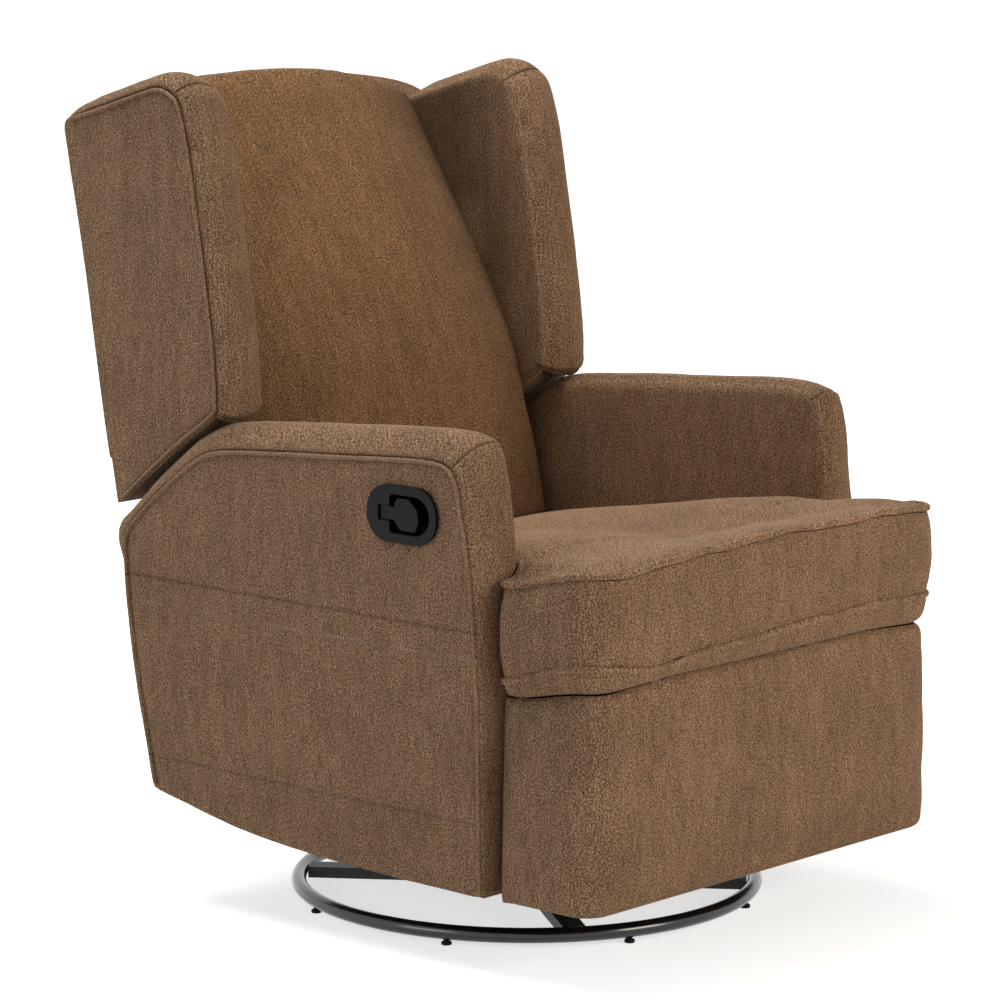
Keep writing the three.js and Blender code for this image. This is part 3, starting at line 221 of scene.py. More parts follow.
def chenille(name, tint=1.0, seamed=False, grain=1.0, hue=(1.0, 1.0, 1.0)):
    """Woven chenille: yarn grain along the warp, slubs, a finer weft, light specks and soft nap."""
    graph = Finish(name)
    cloth_uv = graph.node("UVMap", {}, uv_map="weave").outputs[0]
    place = graph.place()
    split = graph.node("SeparateXYZ", {0: cloth_uv})

    def threads(across, along, roughness=0.5, distortion=0.0, detail=1.0):
        scaled = graph.stretched(cloth_uv, across, along)
        return graph.noise(scaled, detail, roughness, flat=True, distortion=distortion)

    sway = threads(300, 60, 0.6, detail=2.0)
    rib = graph.maths("SINE", graph.total((split.outputs[0], 2700.0), (sway, 16.0)))
    warp = threads(600, 330, distortion=0.2)
    fine = threads(980, 640, 0.6)
    weft = threads(330, 700, distortion=0.2)
    slub = threads(400, 40)
    bands = threads(55, 9)
    nap = graph.noise(place, 3.0, 0.55, scale=10.0)
    yarn = graph.total((warp, 0.36), (fine, 0.36), (weft, 0.2), (slub, 0.12), (rib, 0.012))
    color = tuple(c * tint * h for c, h in zip(FABRIC, hue))
    low, high = 0.52 - 0.105 * grain, 0.52 + 0.125 * grain
    shade = graph.ramp(
        yarn,
        (low, tinted(color, 0.3)),
        ((low + 0.52) / 2 + 0.01, tinted(color, 0.72)),
        (0.53, tinted(color, 1.08)),
        (high, tinted((color[0], color[1] * 1.03, color[2] * 1.08), 2.3)),
    )
    soft = graph.total((nap, 0.6), (bands, 0.4))
    shade = graph.mix(1.0, shade, graph.ramp(soft, (0.36, 0.87), (0.64, 1.12)), "MULTIPLY")
    specks = graph.node("TexVoronoi", {"Vector": place, "Scale": 105.0}).outputs["Distance"]
    raised = graph.ramp(nap, (0.5, 0.0), (0.6, 0.8))
    specks = graph.maths("MULTIPLY", graph.ramp(specks, (0.05, 1.0), (0.1, 0.0)), raised)
    shade = graph.mix(specks, shade, (0.42, 0.33, 0.25))
    # The seam attribute holds painted shade along seams, on wing inner faces and undersides and at the back cushion's
    # sides (above 0), and a painted highlight on the welt crests (below 0); it also dips the bump.
    seam = graph.node("Attribute", {}, attribute_name="seam").outputs["Fac"]
    if not seamed:
        height = graph.maths("MULTIPLY_ADD", seam, -1.0, yarn)
    else:
        # The side seams add painted shade along each seam line, and light stitches.
        dark, stitches = side_seams(graph, place)
        seam = graph.maths("MULTIPLY_ADD", dark, 0.55, seam)
        height = graph.total((yarn, 1.0), (dark, -1.6), (stitches, 0.8))
        shade = graph.mix(stitches, shade, (0.42, 0.35, 0.28))
    # Painted shade: darker towards near-black where the seam attribute is above 0.
    shade = graph.mix(graph.maths("MAXIMUM", graph.maths("MULTIPLY", seam, 0.8), 0.0), shade, tinted(FABRIC, 0.12))
    # Painted highlight: paler where the seam attribute is below 0, on the welt crests.
    painted_highlight = graph.maths("MAXIMUM", graph.maths("MULTIPLY", seam, -0.9), 0.0)
    shade = graph.mix(painted_highlight, shade, tinted((0.24, 0.15, 0.095), 1.7))
    normal = graph.bump(height, 0.0009, 0.7)
    return graph.set(
        Base_Color=shade,
        Roughness=0.94,
        Specular_IOR_Level=0.12,
        Sheen_Weight=0.25,
        Sheen_Roughness=0.35,
        Sheen_Tint=(0.9, 0.7, 0.5),
        Normal=normal,
    )


def metal(name, color, roughness, metallic, scratch=0.1, coat=0.0):
    graph = Finish(name)
    place = graph.place()
    fine = graph.noise(place, 4.0, 0.6, scale=240.0)
    broad = graph.noise(place, 3.0, 0.5, scale=14.0)
    return graph.set(
        Base_Color=graph.ramp(broad, (0.3, tinted(color, 0.85)), (0.7, tinted(color, 1.12))),
        Roughness=graph.maths("MULTIPLY_ADD", fine, scratch, roughness - scratch / 2),
        Metallic=metallic,
        Coat_Weight=coat,
        Coat_Roughness=0.08,
        Normal=graph.bump(fine, 0.0003, 0.12),
    )


def grained_plastic(name, color, roughness):
    graph = Finish(name)
    place = graph.place()
    grain = graph.noise(place, 2.0, 0.6, scale=1300.0)
    broad = graph.noise(place, 2.0, 0.5, scale=60.0)
    return graph.set(
        Base_Color=graph.ramp(grain, (0.3, tinted(color, 0.7)), (0.75, tinted(color, 1.6))),
        Roughness=graph.maths("MULTIPLY_ADD", broad, 0.14, roughness - 0.07),
        Specular_IOR_Level=0.12,
        Normal=graph.bump(grain, 0.00025, 0.4),
    )


def wood(name):
    graph = Finish(name)
    place = graph.place()
    grain = graph.noise(graph.stretched(place, 6, 1, 1), 5.0, 0.65, scale=34.0)
    pores = graph.noise(graph.stretched(place, 30, 2, 30), 2.0, 0.6, scale=40.0)
    tone = graph.ramp(grain, (0.3, (0.42, 0.26, 0.12)), (0.5, (0.6, 0.41, 0.22)), (0.7, (0.7, 0.51, 0.3)))
    shade = graph.mix(1.0, tone, graph.ramp(pores, (0.3, (0.7, 0.66, 0.6)), (0.5, 1.0)), "MULTIPLY")
    return graph.set(Base_Color=shade, Roughness=0.7, Normal=graph.bump(grain, 0.0004, 0.2))


# A dark cord laid along the seat's seams as a painted shadow line beside the piping.
def painted_shadow_cord(name):
    graph = Finish(name)
    place = graph.place()
    cord_mottle = graph.noise(place, 1.0, 0.5, scale=700.0)
    shade = graph.ramp(cord_mottle, (0.35, tinted(FABRIC, 0.05)), (0.65, tinted(FABRIC, 0.16)))
    normal = graph.bump(cord_mottle, 0.0004, 0.5)
    return graph.set(Base_Color=shade, Roughness=0.95, Specular_IOR_Level=0.05, Normal=normal)


cloth = chenille("chenille")
arm_cloth = chenille("chenille_arm_panels", seamed=True)
# The back cushion's chenille is tinted warmer and more saturated: painted bounce light from the cushions around it.
back_bounce_cloth = chenille("chenille_back", hue=(0.91, 0.83, 0.68))
# The piping's chenille is painted 12% lighter, a painted highlight on the cords.
welt_cloth = chenille("chenille_piping", tint=1.12, grain=0.8)
seam_shadow = painted_shadow_cord("seam_thread")
ring_steel = metal("black_gloss_steel", (0.004, 0.004, 0.0045), 0.2, 0.0, 0.08, coat=0.35)
black_steel = metal("black_painted_steel", (0.005, 0.005, 0.0055), 0.5, 0.0, 0.15)
zinc = metal("zinc_steel", (0.5, 0.51, 0.53), 0.38, 0.95, 0.2)
plastic = grained_plastic("black_plastic", (0.004, 0.004, 0.0043), 0.42)
nylon = grained_plastic("dark_nylon", (0.009, 0.009, 0.009), 0.5)
timber = wood("plain_timber")


# ---- Mesh building ----
def placed(name, data):
    """A new object in the scene."""
    obj = bpy.data.objects.new(name, data)
    bpy.context.scene.collection.objects.link(obj)
    return obj


def shade_smooth(mesh):
    mesh.polygons.foreach_set("use_smooth", [True] * len(mesh.polygons))


def write_painted_light(mesh, values):
    """Stores the cloth's painted shade (up to 1), mostly along seams, and its painted highlight (below 0) at each
    point.
    """
    mesh.attributes.new("seam", "FLOAT", "POINT").data.foreach_set("value", values)


def make(name, vertices, faces, material, seam=None):
    """A smooth mesh object from points in millimetres."""
    mesh = bpy.data.meshes.new(name)
    mesh.from_pydata(((np.asarray(vertices, float) + SHIFT) * MM).tolist(), [], [list(map(int, f)) for f in faces])
    mesh.update()
    shade_smooth(mesh)
    mesh.materials.append(material)
    # `seam` holds the cloth's painted shade (above 0) and painted highlight (below 0) at each point.
    if seam is not None:
        values = np.zeros(len(mesh.vertices))
        values[: len(seam)] = seam
        write_painted_light(mesh, values)
    return placed(name, mesh)


def read(items, key, width=1, kind=float):
    """One property of all items of a mesh, as an array."""
    flat = np.empty(len(items) * width, kind)
    items.foreach_get(key, flat)
    return flat.reshape(-1, width) if width > 1 else flat


def tree_of(points):
    """A search tree over points of two or three coordinates."""
    tree = KDTree(len(points))
    for index, at in enumerate(points):
        tree.insert(Vector((*at, 0.0)[:3]), index)
    tree.balance()
    return tree


LEVEL_FACE = 0.74  # least upward share of the normal of a face that is unwrapped from above


def unwrap(obj):
    """Lays the weave on each face from the side that it faces most, in metres, with the warp along V."""
    mesh = obj.data
    sizes = read(mesh.polygons, "loop_total", kind=int)
    facing = np.repeat(np.abs(read(mesh.polygons, "normal", 3)), sizes, axis=0)
    at = read(mesh.vertices, "co", 3)[read(mesh.loops, "vertex_index", kind=int)]
    level = facing[:, 2] > LEVEL_FACE
    sideways = ~level & (facing[:, 0] > facing[:, 1])
    u = np.where(sideways, at[:, 1] + 3, at[:, 0])
    u = np.where(level, (at[:, 0] - at[:, 1]) * 0.5, u)
    v = np.where(level, (at[:, 0] + at[:, 1]) * 0.5 + 5, at[:, 2])
    layer = mesh.uv_layers.new(name="weave")
    layer.data.foreach_set("uv", np.column_stack([u, v]).ravel())


def fanned(faces):
    """The triangles of the faces."""
    return np.array([[f[0], f[k], f[k + 1]] for f in faces for k in range(1, len(f) - 1)])


def outwards(vertices, faces):
    """The faces, turned over where they wind inwards."""
    triangles = fanned(faces)
    a, b, c = (vertices[triangles[:, i]] for i in range(3))
    volume = np.sum(a * np.cross(b, c))
    return faces if volume > 0 else [f[::-1] for f in faces]


def walls(rings):
    """Vertices, and the faces between rings of equal count."""
    count = len(rings[0])
    faces = []
    for r in range(len(rings) - 1):
        a = r * count + np.arange(count)
        b = r * count + (np.arange(count) + 1) % count
        faces += np.stack([a, b, b + count, a + count], 1).tolist()
    return np.concatenate(rings), faces


def skin(rings):
    """Vertices and outward faces of a closed skin over rings of equal count, fanned at both ends."""
    vertices, faces = walls(rings)
    count = len(rings[0])
    for end in (0, len(rings) - 1):
        middle = len(vertices)
        vertices = np.vstack([vertices, rings[end].mean(0)])
        for i in range(count):
            a, b = end * count + i, end * count + (i + 1) % count
            faces.append([b, a, middle] if end == 0 else [a, b, middle])
    return vertices, outwards(vertices, faces)


def smoothstep(a, b, value):
    t = np.clip((np.asarray(value, float) - a) / (b - a), 0, 1)
    return t * t * (3 - 2 * t)


def spline(knots, per=24):
    """A smooth curve through knots, with `per` points between two of them."""
    k = np.asarray(knots, float)
    points = []
    for i in range(len(k) - 1):
        p0, p1, p2, p3 = k[max(i - 1, 0)], k[i], k[i + 1], k[min(i + 2, len(k) - 1)]
        t = np.linspace(0, 1, per, endpoint=False)[:, None]
        v0, v1 = (p2 - p0) * 0.5, (p3 - p1) * 0.5
        points.append((2 * p1 - 2 * p2 + v0 + v1) * t**3 + (-3 * p1 + 3 * p2 - 2 * v0 - v1) * t**2 + v0 * t + p1)
    return np.vstack(points + [k[-1:]])


def vertex_normals(vertices, faces):
    triangles = fanned(faces)
    a, b, c = (vertices[triangles[:, i]] for i in range(3))
    flat = np.cross(b - a, c - a)
    normals = np.zeros_like(vertices)
    for i in range(3):
        np.add.at(normals, triangles[:, i], flat)
    return normals / np.maximum(np.linalg.norm(normals, axis=1), 1e-9)[:, None]


def ripple(vertices, wave, seed):
    """Smooth noise at each point, about -1 to 1, with a finer octave on top."""
    offset = Vector((seed * 13.7, seed * 7.1, seed * 3.3))
    height = np.array([noise.noise(Vector(v / wave) + offset) for v in vertices])
    return height + 0.4 * np.array([noise.noise(Vector(v / (wave * 0.37)) + offset) for v in vertices])


def even(points, spacing):
    """A closed polyline sampled evenly."""
    p = np.asarray(points, float)
    p = np.vstack([p, p[:1]])
    arc = np.concatenate([[0], np.cumsum(np.linalg.norm(np.diff(p, axis=0), axis=1))])
    places = np.linspace(0, arc[-1], int(round(arc[-1] / spacing)), endpoint=False)
    return np.stack([np.interp(places, arc, p[:, i]) for i in range(p.shape[1])], 1)


def mirrored(half):
    """An outline, from its half at positive x."""
    return half + [[-x, y] for x, y in half[1:-1][::-1]]


def outward(p):
    """Unit normals of a closed outline, pointing out."""
    ahead, behind = np.roll(p, -1, 0), np.roll(p, 1, 0)
    along = ahead - behind
    along /= np.linalg.norm(along, axis=1)[:, None]
    area = np.sum(p[:, 0] * ahead[:, 1] - ahead[:, 0] * p[:, 1])
    return np.stack([along[:, 1], -along[:, 0]], 1) * (1 if area > 0 else -1)


def tube(name, path, radius, material, sides=10):
    """A closed round cord along a path."""
    ahead, behind = np.roll(path, -1, 0) - path, path - np.roll(path, 1, 0)
    tangent = ahead / np.linalg.norm(ahead, axis=1)[:, None] + behind / np.linalg.norm(behind, axis=1)[:, None]
    tangent /= np.linalg.norm(tangent, axis=1)[:, None]
    up = np.tile([0.0, 0, 1], (len(path), 1))
    up[np.abs(tangent[:, 2]) > 0.9] = [0, 1, 0]
    across = np.cross(tangent, up)
    across /= np.linalg.norm(across, axis=1)[:, None]
    lift = np.cross(across, tangent)
    angle = (np.arange(sides) / sides * 2 * math.pi)[None, :, None]
    ring = across[:, None] * np.cos(angle) + lift[:, None] * np.sin(angle)
    vertices = (path[:, None] + np.reshape(radius, (-1, 1, 1)) * ring).reshape(-1, 3)
    n = len(path)
    faces = []
    for i in range(n):
        following = (i + 1) % n * sides
        for k in range(sides):
            beside = (k + 1) % sides
            faces.append([i * sides + k, i * sides + beside, following + beside, following + k])
    return make(name, vertices, outwards(vertices, faces), material)


# ---- Cloth: pads are inflated against their pinned seams ----
CLOTH_FRAMES = 20
simulated = []


def inflate(obj, loose, pressure, cap, ease=0.0):
    """Lines a piece up for the cloth simulation, where it moves by at most `cap` mm.

    `loose` is 0 on pinned points, up to 1 on free ones, and `ease` is the share by which the cloth is larger.
    """
    group = obj.vertex_groups.new(name="pinned")
    for index, value in enumerate(loose):
        if value < 1:
            group.add([index], float(1 - value), "REPLACE")
    modifier = obj.modifiers.new("inflate", "CLOTH")
    settings = modifier.settings
    settings.quality = 5
    settings.mass = 0.3
    settings.tension_stiffness = 18
    settings.compression_stiffness = 18
    settings.shear_stiffness = 6
    settings.bending_stiffness = 0.6
    settings.use_pressure = True
    settings.uniform_pressure_force = pressure
    settings.vertex_group_mass = "pinned"
    settings.shrink_min = -ease
    settings.effector_weights.gravity = 0
    modifier.point_cache.frame_start = 1
    modifier.point_cache.frame_end = CLOTH_FRAMES
    simulated.append((obj, np.asarray(loose, float), cap * MM))


def run_cloth():
    """Simulates all pieces, and keeps the final meshes. A move beyond the cap is scaled down as a whole."""
    scene = bpy.context.scene
    for number in range(1, CLOTH_FRAMES + 1):
        scene.frame_set(number)
    graph = bpy.context.evaluated_depsgraph_get()
    for obj, loose, cap in simulated:
        rest = read(obj.data.vertices, "co", 3)
        move = read(obj.evaluated_get(graph).data.vertices, "co", 3) - rest
        reach = np.linalg.norm(move, axis=1)
        move *= min(1.0, cap / max(float(np.percentile(reach, 97)), 1e-9))
        length = np.linalg.norm(move, axis=1)
        move *= (np.minimum(length, cap * smoothstep(0, 0.3, loose)) / np.maximum(length, 1e-9))[:, None]
        obj.modifiers.remove(obj.modifiers["inflate"])
        obj.vertex_groups.clear()
        obj.data.vertices.foreach_set("co", (rest + move).ravel())
        obj.data.update()
    scene.frame_set(1)


def upholster(piece, body, node=None):
    """Ties a padded piece to its body, in place of the node that it stands for."""
    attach(piece, body)
    if node:
        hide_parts(node)


# ---- Arms and wings ----
SEAM_ROWS = (-5, -3.2, -1.9, -0.9, 0, 0.9, 1.9, 3.2, 5)  # where points lie along the outline beside a seam


class Outline:
    """A closed outline of smooth stretches, sampled evenly, and finely beside each seam that crosses it."""

    def __init__(self, stretches, spacing, seams=()):
        points, arcs, start = [], [], 0.0
        self.seams = []
        for stretch in stretches:
            dense = spline(stretch)
            arc = np.concatenate([[0], np.cumsum(np.linalg.norm(np.diff(dense, axis=0), axis=1))])
            places = list(np.linspace(0, arc[-1], max(1, int(round(arc[-1] / spacing))), endpoint=False))
            for seam in seams:
                away = np.linalg.norm(dense - np.asarray(seam, float), axis=1)
                if away.min() < 10:
                    middle = arc[away.argmin()]
                    self.seams.append(start + middle)
                    places = [p for p in places if abs(p - middle) > SEAM_ROWS[-1] + 0.5 or p == 0]
                    places += [middle + d for d in SEAM_ROWS]
            places = np.array(sorted(p for p in places if 0 <= p < arc[-1]))
            points.append(np.stack([np.interp(places, arc, dense[:, i]) for i in (0, 1)], 1))
            arcs.append(start + places)
            start += arc[-1]
        self.points = np.vstack(points)
        self.arc = np.concatenate(arcs)
        self.length = start
        ahead, behind = np.roll(self.points, -1, 0), np.roll(self.points, 1, 0)
        along = (ahead - self.points) / np.linalg.norm(ahead - self.points, axis=1)[:, None]
        along += (self.points - behind) / np.linalg.norm(self.points - behind, axis=1)[:, None]
        along /= np.linalg.norm(along, axis=1)[:, None]
        area = np.sum(self.points[:, 0] * ahead[:, 1] - ahead[:, 0] * self.points[:, 1])
        self.out = np.stack([along[:, 1], -along[:, 0]], 1) * (1 if area > 0 else -1)

    def near_seam(self, width):
        """1 at the seams that cross the outline, fading over `width` along it."""
        near = np.zeros(len(self.points))
        for seam in self.seams:
            away = np.abs(self.arc - seam)
            away = np.minimum(away, self.length - away)
            near = np.maximum(near, np.exp(-((away / width) ** 2)))
        return near


def distance_to(points, line):
    """How far each point lies from the nearest point of a closely sampled line."""
    tree = tree_of(line)
    return np.array([tree.find(Vector((*at, 0.0)[:3]))[2] for at in points])


def drawn_in(outline, shifted, depth):
    """An inset of an outline, with the points that crossed at a sharp corner spread over that corner."""
    good = distance_to(shifted, even(outline.points, 1.0)) > depth * 0.94
    result = shifted.copy()
    for axis in (0, 1):
        result[:, axis] = np.interp(outline.arc, outline.arc[good], shifted[good, axis], period=outline.length)
    return result


def softened(ring, turns):
    """A closed line, averaged with its neighbours again and again."""
    for _ in range(turns):
        ring = (np.roll(ring, 1, 0) + 2 * ring + np.roll(ring, -1, 0)) / 4
    return ring


# Insets from the edge, each with a height (WELT, ROLL); shares of the strip's width (STRIP)
WELT = (
    (0.0, -3.0), (0.5, -2.0), (1.1, 0.6), (2.1, 2.6), (3.6, 3.5), (5.2, 3.2), (6.6, 1.7),
    (7.6, -0.4), (8.6, -1.3), (10.2, -0.8), (13.0, 0.0),
)
STRIP = (0.17, 0.2, 0.24, 0.29, 0.37, 0.45, 0.53, 0.61, 0.69, 0.76, 0.82, 0.87, 0.91, 0.94, 0.962, 0.978, 0.99)
ROLL = ((0.0, 17.0), (0.5, 12.0), (1.9, 7.4), (4.2, 3.8), (7.2, 1.5), (10.6, 0.3))
INNER_INSET, PANEL_INSET, LIMIT_MARGIN = 24.0, 13.0, 30


def boxed_side(
    name, side, outline, x_in, x_out, crown, lift, welt, centre, shrink, material, seed, limit, ear=0.0, under=0.0,
    inner=lambda yz: 0.0,
):
    """An arm or a wing: inner face with a rolled edge, crowned boxing strip, and an outer panel in a flat welt.

    `lift` says how far the crown stands at the inner edge and at the middle, how its middle is shifted, and how wide
    the roll is. `ear` is a bulge beside the welt, and `under` and `inner` give the painted shade of the underside and
    of the inner face. The seam attribute also carries painted shade in the seam grooves and a painted highlight on the
    welt's crest.
    """
    edge_rise, middle_rise, skew, roll = lift
    p, out = outline.points, outline.out
    groove = outline.near_seam(1.6)
    pucker = outline.near_seam(11.0)
    outer_x = x_out(p[:, 1])
    strip_width = (outer_x - x_in).mean()
    rings, seam, loose = [], [], []

    def ring(x, yz, dark=0.0, free=0.0):
        rings.append(np.column_stack([np.full(len(p), 0.0) + side * x, yz]))
        seam.append(np.full(len(p), 0.0) + dark)
        loose.append(np.full(len(p), 0.0) + free)

    edge_line = p + crown * edge_rise
    base = softened(drawn_in(outline, p - out * INNER_INSET, INNER_INSET), 6) + crown * edge_rise
    core = centre + (softened(base, 60) - centre) * shrink
    for share in (1, 0.78, 0.55, 0.36, 0.22, 0.1):
        yz = softened(base, int(30 * share)) + (core - base) * share
        # The inner face gets its painted shade from `inner`.
        ring(x_in, yz, inner(yz))
    for x, inset in ROLL:
        yz = edge_line - out * inset * roll
        # Painted shade where a seam crosses the roll, and the inner face's painted shade fading over the roll.
        ring(x_in + x * roll, yz, np.maximum(groove**2 * (x > 1), inner(yz) * (1 - x / ROLL[-1][0])))
    for t in STRIP:
        rise = edge_rise * (1 - t**3) + middle_rise * math.sin(math.pi * t**skew) ** 0.65
        edge = (1 - t) * strip_width
        sink = 2.8 * math.exp(-((edge / 1.9) ** 2)) * welt + groove * 2.8 + pucker * 1.3 * math.sin(math.pi * t)
        bulge = ear * math.exp(-(((edge - 7.0) / 4.5) ** 2))
        yz = p + crown * rise + out * (bulge - sink)[:, None]
        # Painted shade in the seam grooves and beside the welt.
        dark = np.maximum(groove**2, math.exp(-((edge / 1.4) ** 2)) * welt)
        free = smoothstep(0.08, 0.3, t) * smoothstep(1.0, 0.86, t) * (1 - groove)
        # Painted shade along the underside.
        dark = np.maximum(dark, under * smoothstep(0.99, 0.9, t))
        ring(x_in + (outer_x - x_in) * t, yz, dark, free * np.minimum(np.linalg.norm(crown, axis=1) / 8, 1))
    for inset, height in WELT:
        # Painted shade in the welt's groove and beside it, and a painted highlight (pale) on its crest.
        dark = max(0.0, 1 - inset / 0.9) + 0.6 * math.exp(-(((inset - 8.4) / 1.1) ** 2))
        pale = 0.3 * math.exp(-(((inset - 4.0) / 2.2) ** 2))
        yz = drawn_in(outline, p - out * (inset + 1.6 * math.exp(-inset) * welt)[:, None], inset)
        ring(outer_x + height * welt, yz, (dark - pale) * welt)
    base = drawn_in(outline, p - out * PANEL_INSET, PANEL_INSET)
    core = centre + (softened(base, 80) - centre) * shrink
    for share in (0.05, 0.11, 0.19, 0.29, 0.41, 0.55, 0.7, 0.85, 1):
        yz = softened(base, int(80 * share))
        yz = yz + (core - yz) * share
        middle = 1 - np.minimum(np.linalg.norm((yz - centre) / np.ptp(p, axis=0) * 2, axis=1), 1) ** 2
        ring(x_out(yz[:, 1]) + 2.5 * middle * smoothstep(0, 0.4, share), yz, 0.0, 0.4 * smoothstep(0, 0.3, share))
    vertices, faces = skin(rings)
    normals = vertex_normals(vertices, faces)
    height = ripple(vertices, 95, seed) * 0.9 + ripple(vertices, 34, seed + 0.5) * 0.35
    vertices = vertices + normals * height[:, None]
    vertices[:, 1] = limit(vertices)
    vertices[:, 0] = side * np.maximum(side * vertices[:, 0], x_in)
    obj = make(name, vertices, faces, material, np.concatenate(seam))
    loose = np.append(np.concatenate(loose), [0, 0.5])
    reach = vertices + [0, LIMIT_MARGIN, 0]
    loose = loose * smoothstep(2, 25, LIMIT_MARGIN - (reach[:, 1] - limit(reach)))
    inflate(obj, loose, 3.0, 4.0)
    return obj


def scaled_shares(shares, u0, v0, width, height):
    """Stretches of an outline in millimetres, from shares of its width and height."""
    return [[(u0 + u * width, v0 + v * height) for u, v in stretch] for stretch in shares]


ARM_Y, ARM_Z, ARM_LENGTH, ARM_HEIGHT = -261, 100, 645, 547
ARM_IN, ARM_THICK, ARM_LEAN, ARM_LEAN_HEIGHT = 302, 85, 22, 500
ARM_SEAM, ARM_FRONT_LIMIT, ARM_LIMIT_TOP = (-224, 642), -266.3, 560
ARM_CORNER_Y, ARM_CORNER_Z = 371, 488
LEFT_NARROWER, LEFT_FULLER = 10, 14
ARM_SHARES = (
    (
        (0.01, 0), (0, 0.3), (-0.004, 0.5), (0.002, 0.672), (0.011, 0.769), (0.025, 0.864), (0.039, 0.94),
        (0.054, 0.98), (0.084, 1.0), (0.14, 1.003), (0.228, 0.998), (0.382, 0.985), (0.52, 0.975), (0.692, 0.957),
        (0.765, 0.928), (0.845, 0.864), (0.925, 0.79), (0.971, 0.735), (0.985, 0.7), (0.984, 0.65), (0.981, 0.56),
        (0.965, 0.36), (0.93, 0.09),
    ),
    ((0.93, 0.09), (0.68, 0.035), (0.415, 0.01), (0.01, 0)),
)


def arm_x_out(z):
    rise = np.clip((z - ARM_Z) / ARM_LEAN_HEIGHT, 0, 1)
    return ARM_IN + ARM_THICK - ARM_LEAN * (1 - np.sin(rise * math.pi / 2))


arm_outline = Outline(scaled_shares(ARM_SHARES, ARM_Y, ARM_Z, ARM_LENGTH, ARM_HEIGHT), 7.0, [ARM_SEAM])
arm_height = (arm_outline.points[:, 1] - ARM_Z) / ARM_HEIGHT
arm_rearward = (arm_outline.points[:, 0] - ARM_Y) / ARM_LENGTH
forward, upward = -arm_outline.out[:, 0], arm_outline.out[:, 1]
front_crown = 2.5 + 13 * smoothstep(0.55, 0.95, arm_height)
arm_crown = np.column_stack([-front_crown * np.clip(forward * 1.5, 0, 1), 30 * np.clip(upward * 1.5, 0, 1)])
sloped = smoothstep(0.64, 0.82, arm_height)
slope_crown = 30 * sloped + 8 * smoothstep(0.5, 0.68, arm_height) * (1 - sloped)
rear_part = smoothstep(0.5, 0.7, arm_rearward)[:, None]
arm_crown = arm_crown * (1 - rear_part) + arm_outline.out * slope_crown[:, None] * rear_part
arm_crown *= smoothstep(0.02, 0.1, arm_height)[:, None]
arm_corner = np.hypot(arm_outline.points[:, 0] - ARM_CORNER_Y, (arm_outline.points[:, 1] - ARM_CORNER_Z) * 0.8)
arm_ear = 9 * np.exp(-((arm_corner / 20) ** 2)) + 4.5 * smoothstep(0.85, 0.95, arm_rearward) * (arm_height > 0.1)
arm_welt = np.where((arm_height < 0.1) & (arm_rearward > 0.03) & (arm_rearward < 0.93), 0.0, 1.0)
arm_centre = np.array([ARM_Y + ARM_LENGTH / 2, ARM_Z + ARM_HEIGHT / 2])


def arm_limit(vertices):
    """Keeps the arm's front edge behind the seat's ear and the footrest."""
    y = vertices[:, 1]
    return np.where(vertices[:, 2] < ARM_LIMIT_TOP, np.maximum(y, ARM_FRONT_LIMIT), y)


REAR_Y, REAR_Z, RAKE = 414, 537, 0.1914
WING_IN, WING_THICK, WING_Y, WING_DEPTH, WING_Z, WING_HEIGHT, WING_CROWN = 275, 85, 219, 291, 526, 558, 20
WING_SEAMS, WING_NECK_Z = [(293, 1077), (222, 664)], 683
LEFT_WING_LOWER, LOWER_FROM, LOWER_TO = 0.008, 0.82, 1.06  # metres
WING_SHARES = (
    ((0.67, 0.0), (0.78, 0.335), (0.883, 0.618), (0.99, 0.885)),
    (
        (0.99, 0.885), (0.955, 0.915), (0.777, 0.941), (0.464, 0.989), (0.357, 1), (0.268, 0.986), (0.21, 0.95),
        (0.144, 0.817), (0.072, 0.599), (0.014, 0.398), (0, 0.281), (0.02, 0.24), (0.23, 0.163), (0.433, 0.086),
        (0.6, 0.018), (0.67, 0.0),
    ),
)


def rear_y(z):
    """The raked plane between the wings and the outside back."""
    return REAR_Y + (z - REAR_Z) * RAKE


def wing_limit(vertices):
    """Keeps a wing in front of the outside back."""
    return np.minimum(vertices[:, 1], rear_y(vertices[:, 2]) - 0.4)


def wing_inner_shade(yz):
    """Painted shade on a wing's inner face, darker from its front edge back to the back cushion."""
    front = WING_Y + 0.135 * np.maximum(yz[:, 1] - WING_NECK_Z, 0)
    return 0.72 * smoothstep(-10, 130, yz[:, 0] - front)


wing_outline = Outline(scaled_shares(WING_SHARES, WING_Y, WING_Z, WING_DEPTH, WING_HEIGHT), 6.0, WING_SEAMS)
wing_reach = rear_y(wing_outline.points[:, 1]) - wing_outline.points[:, 0]
wing_crown = wing_outline.out * (WING_CROWN * smoothstep(0, WING_CROWN * 3, wing_reach))[:, None]
wing_crown *= np.where(wing_outline.points[:, 1] < WING_Z + WING_HEIGHT * 0.24, 0.1, 1)[:, None]
wing_centre = np.array([WING_Y + WING_DEPTH * 0.45, WING_Z + WING_HEIGHT * 0.6])

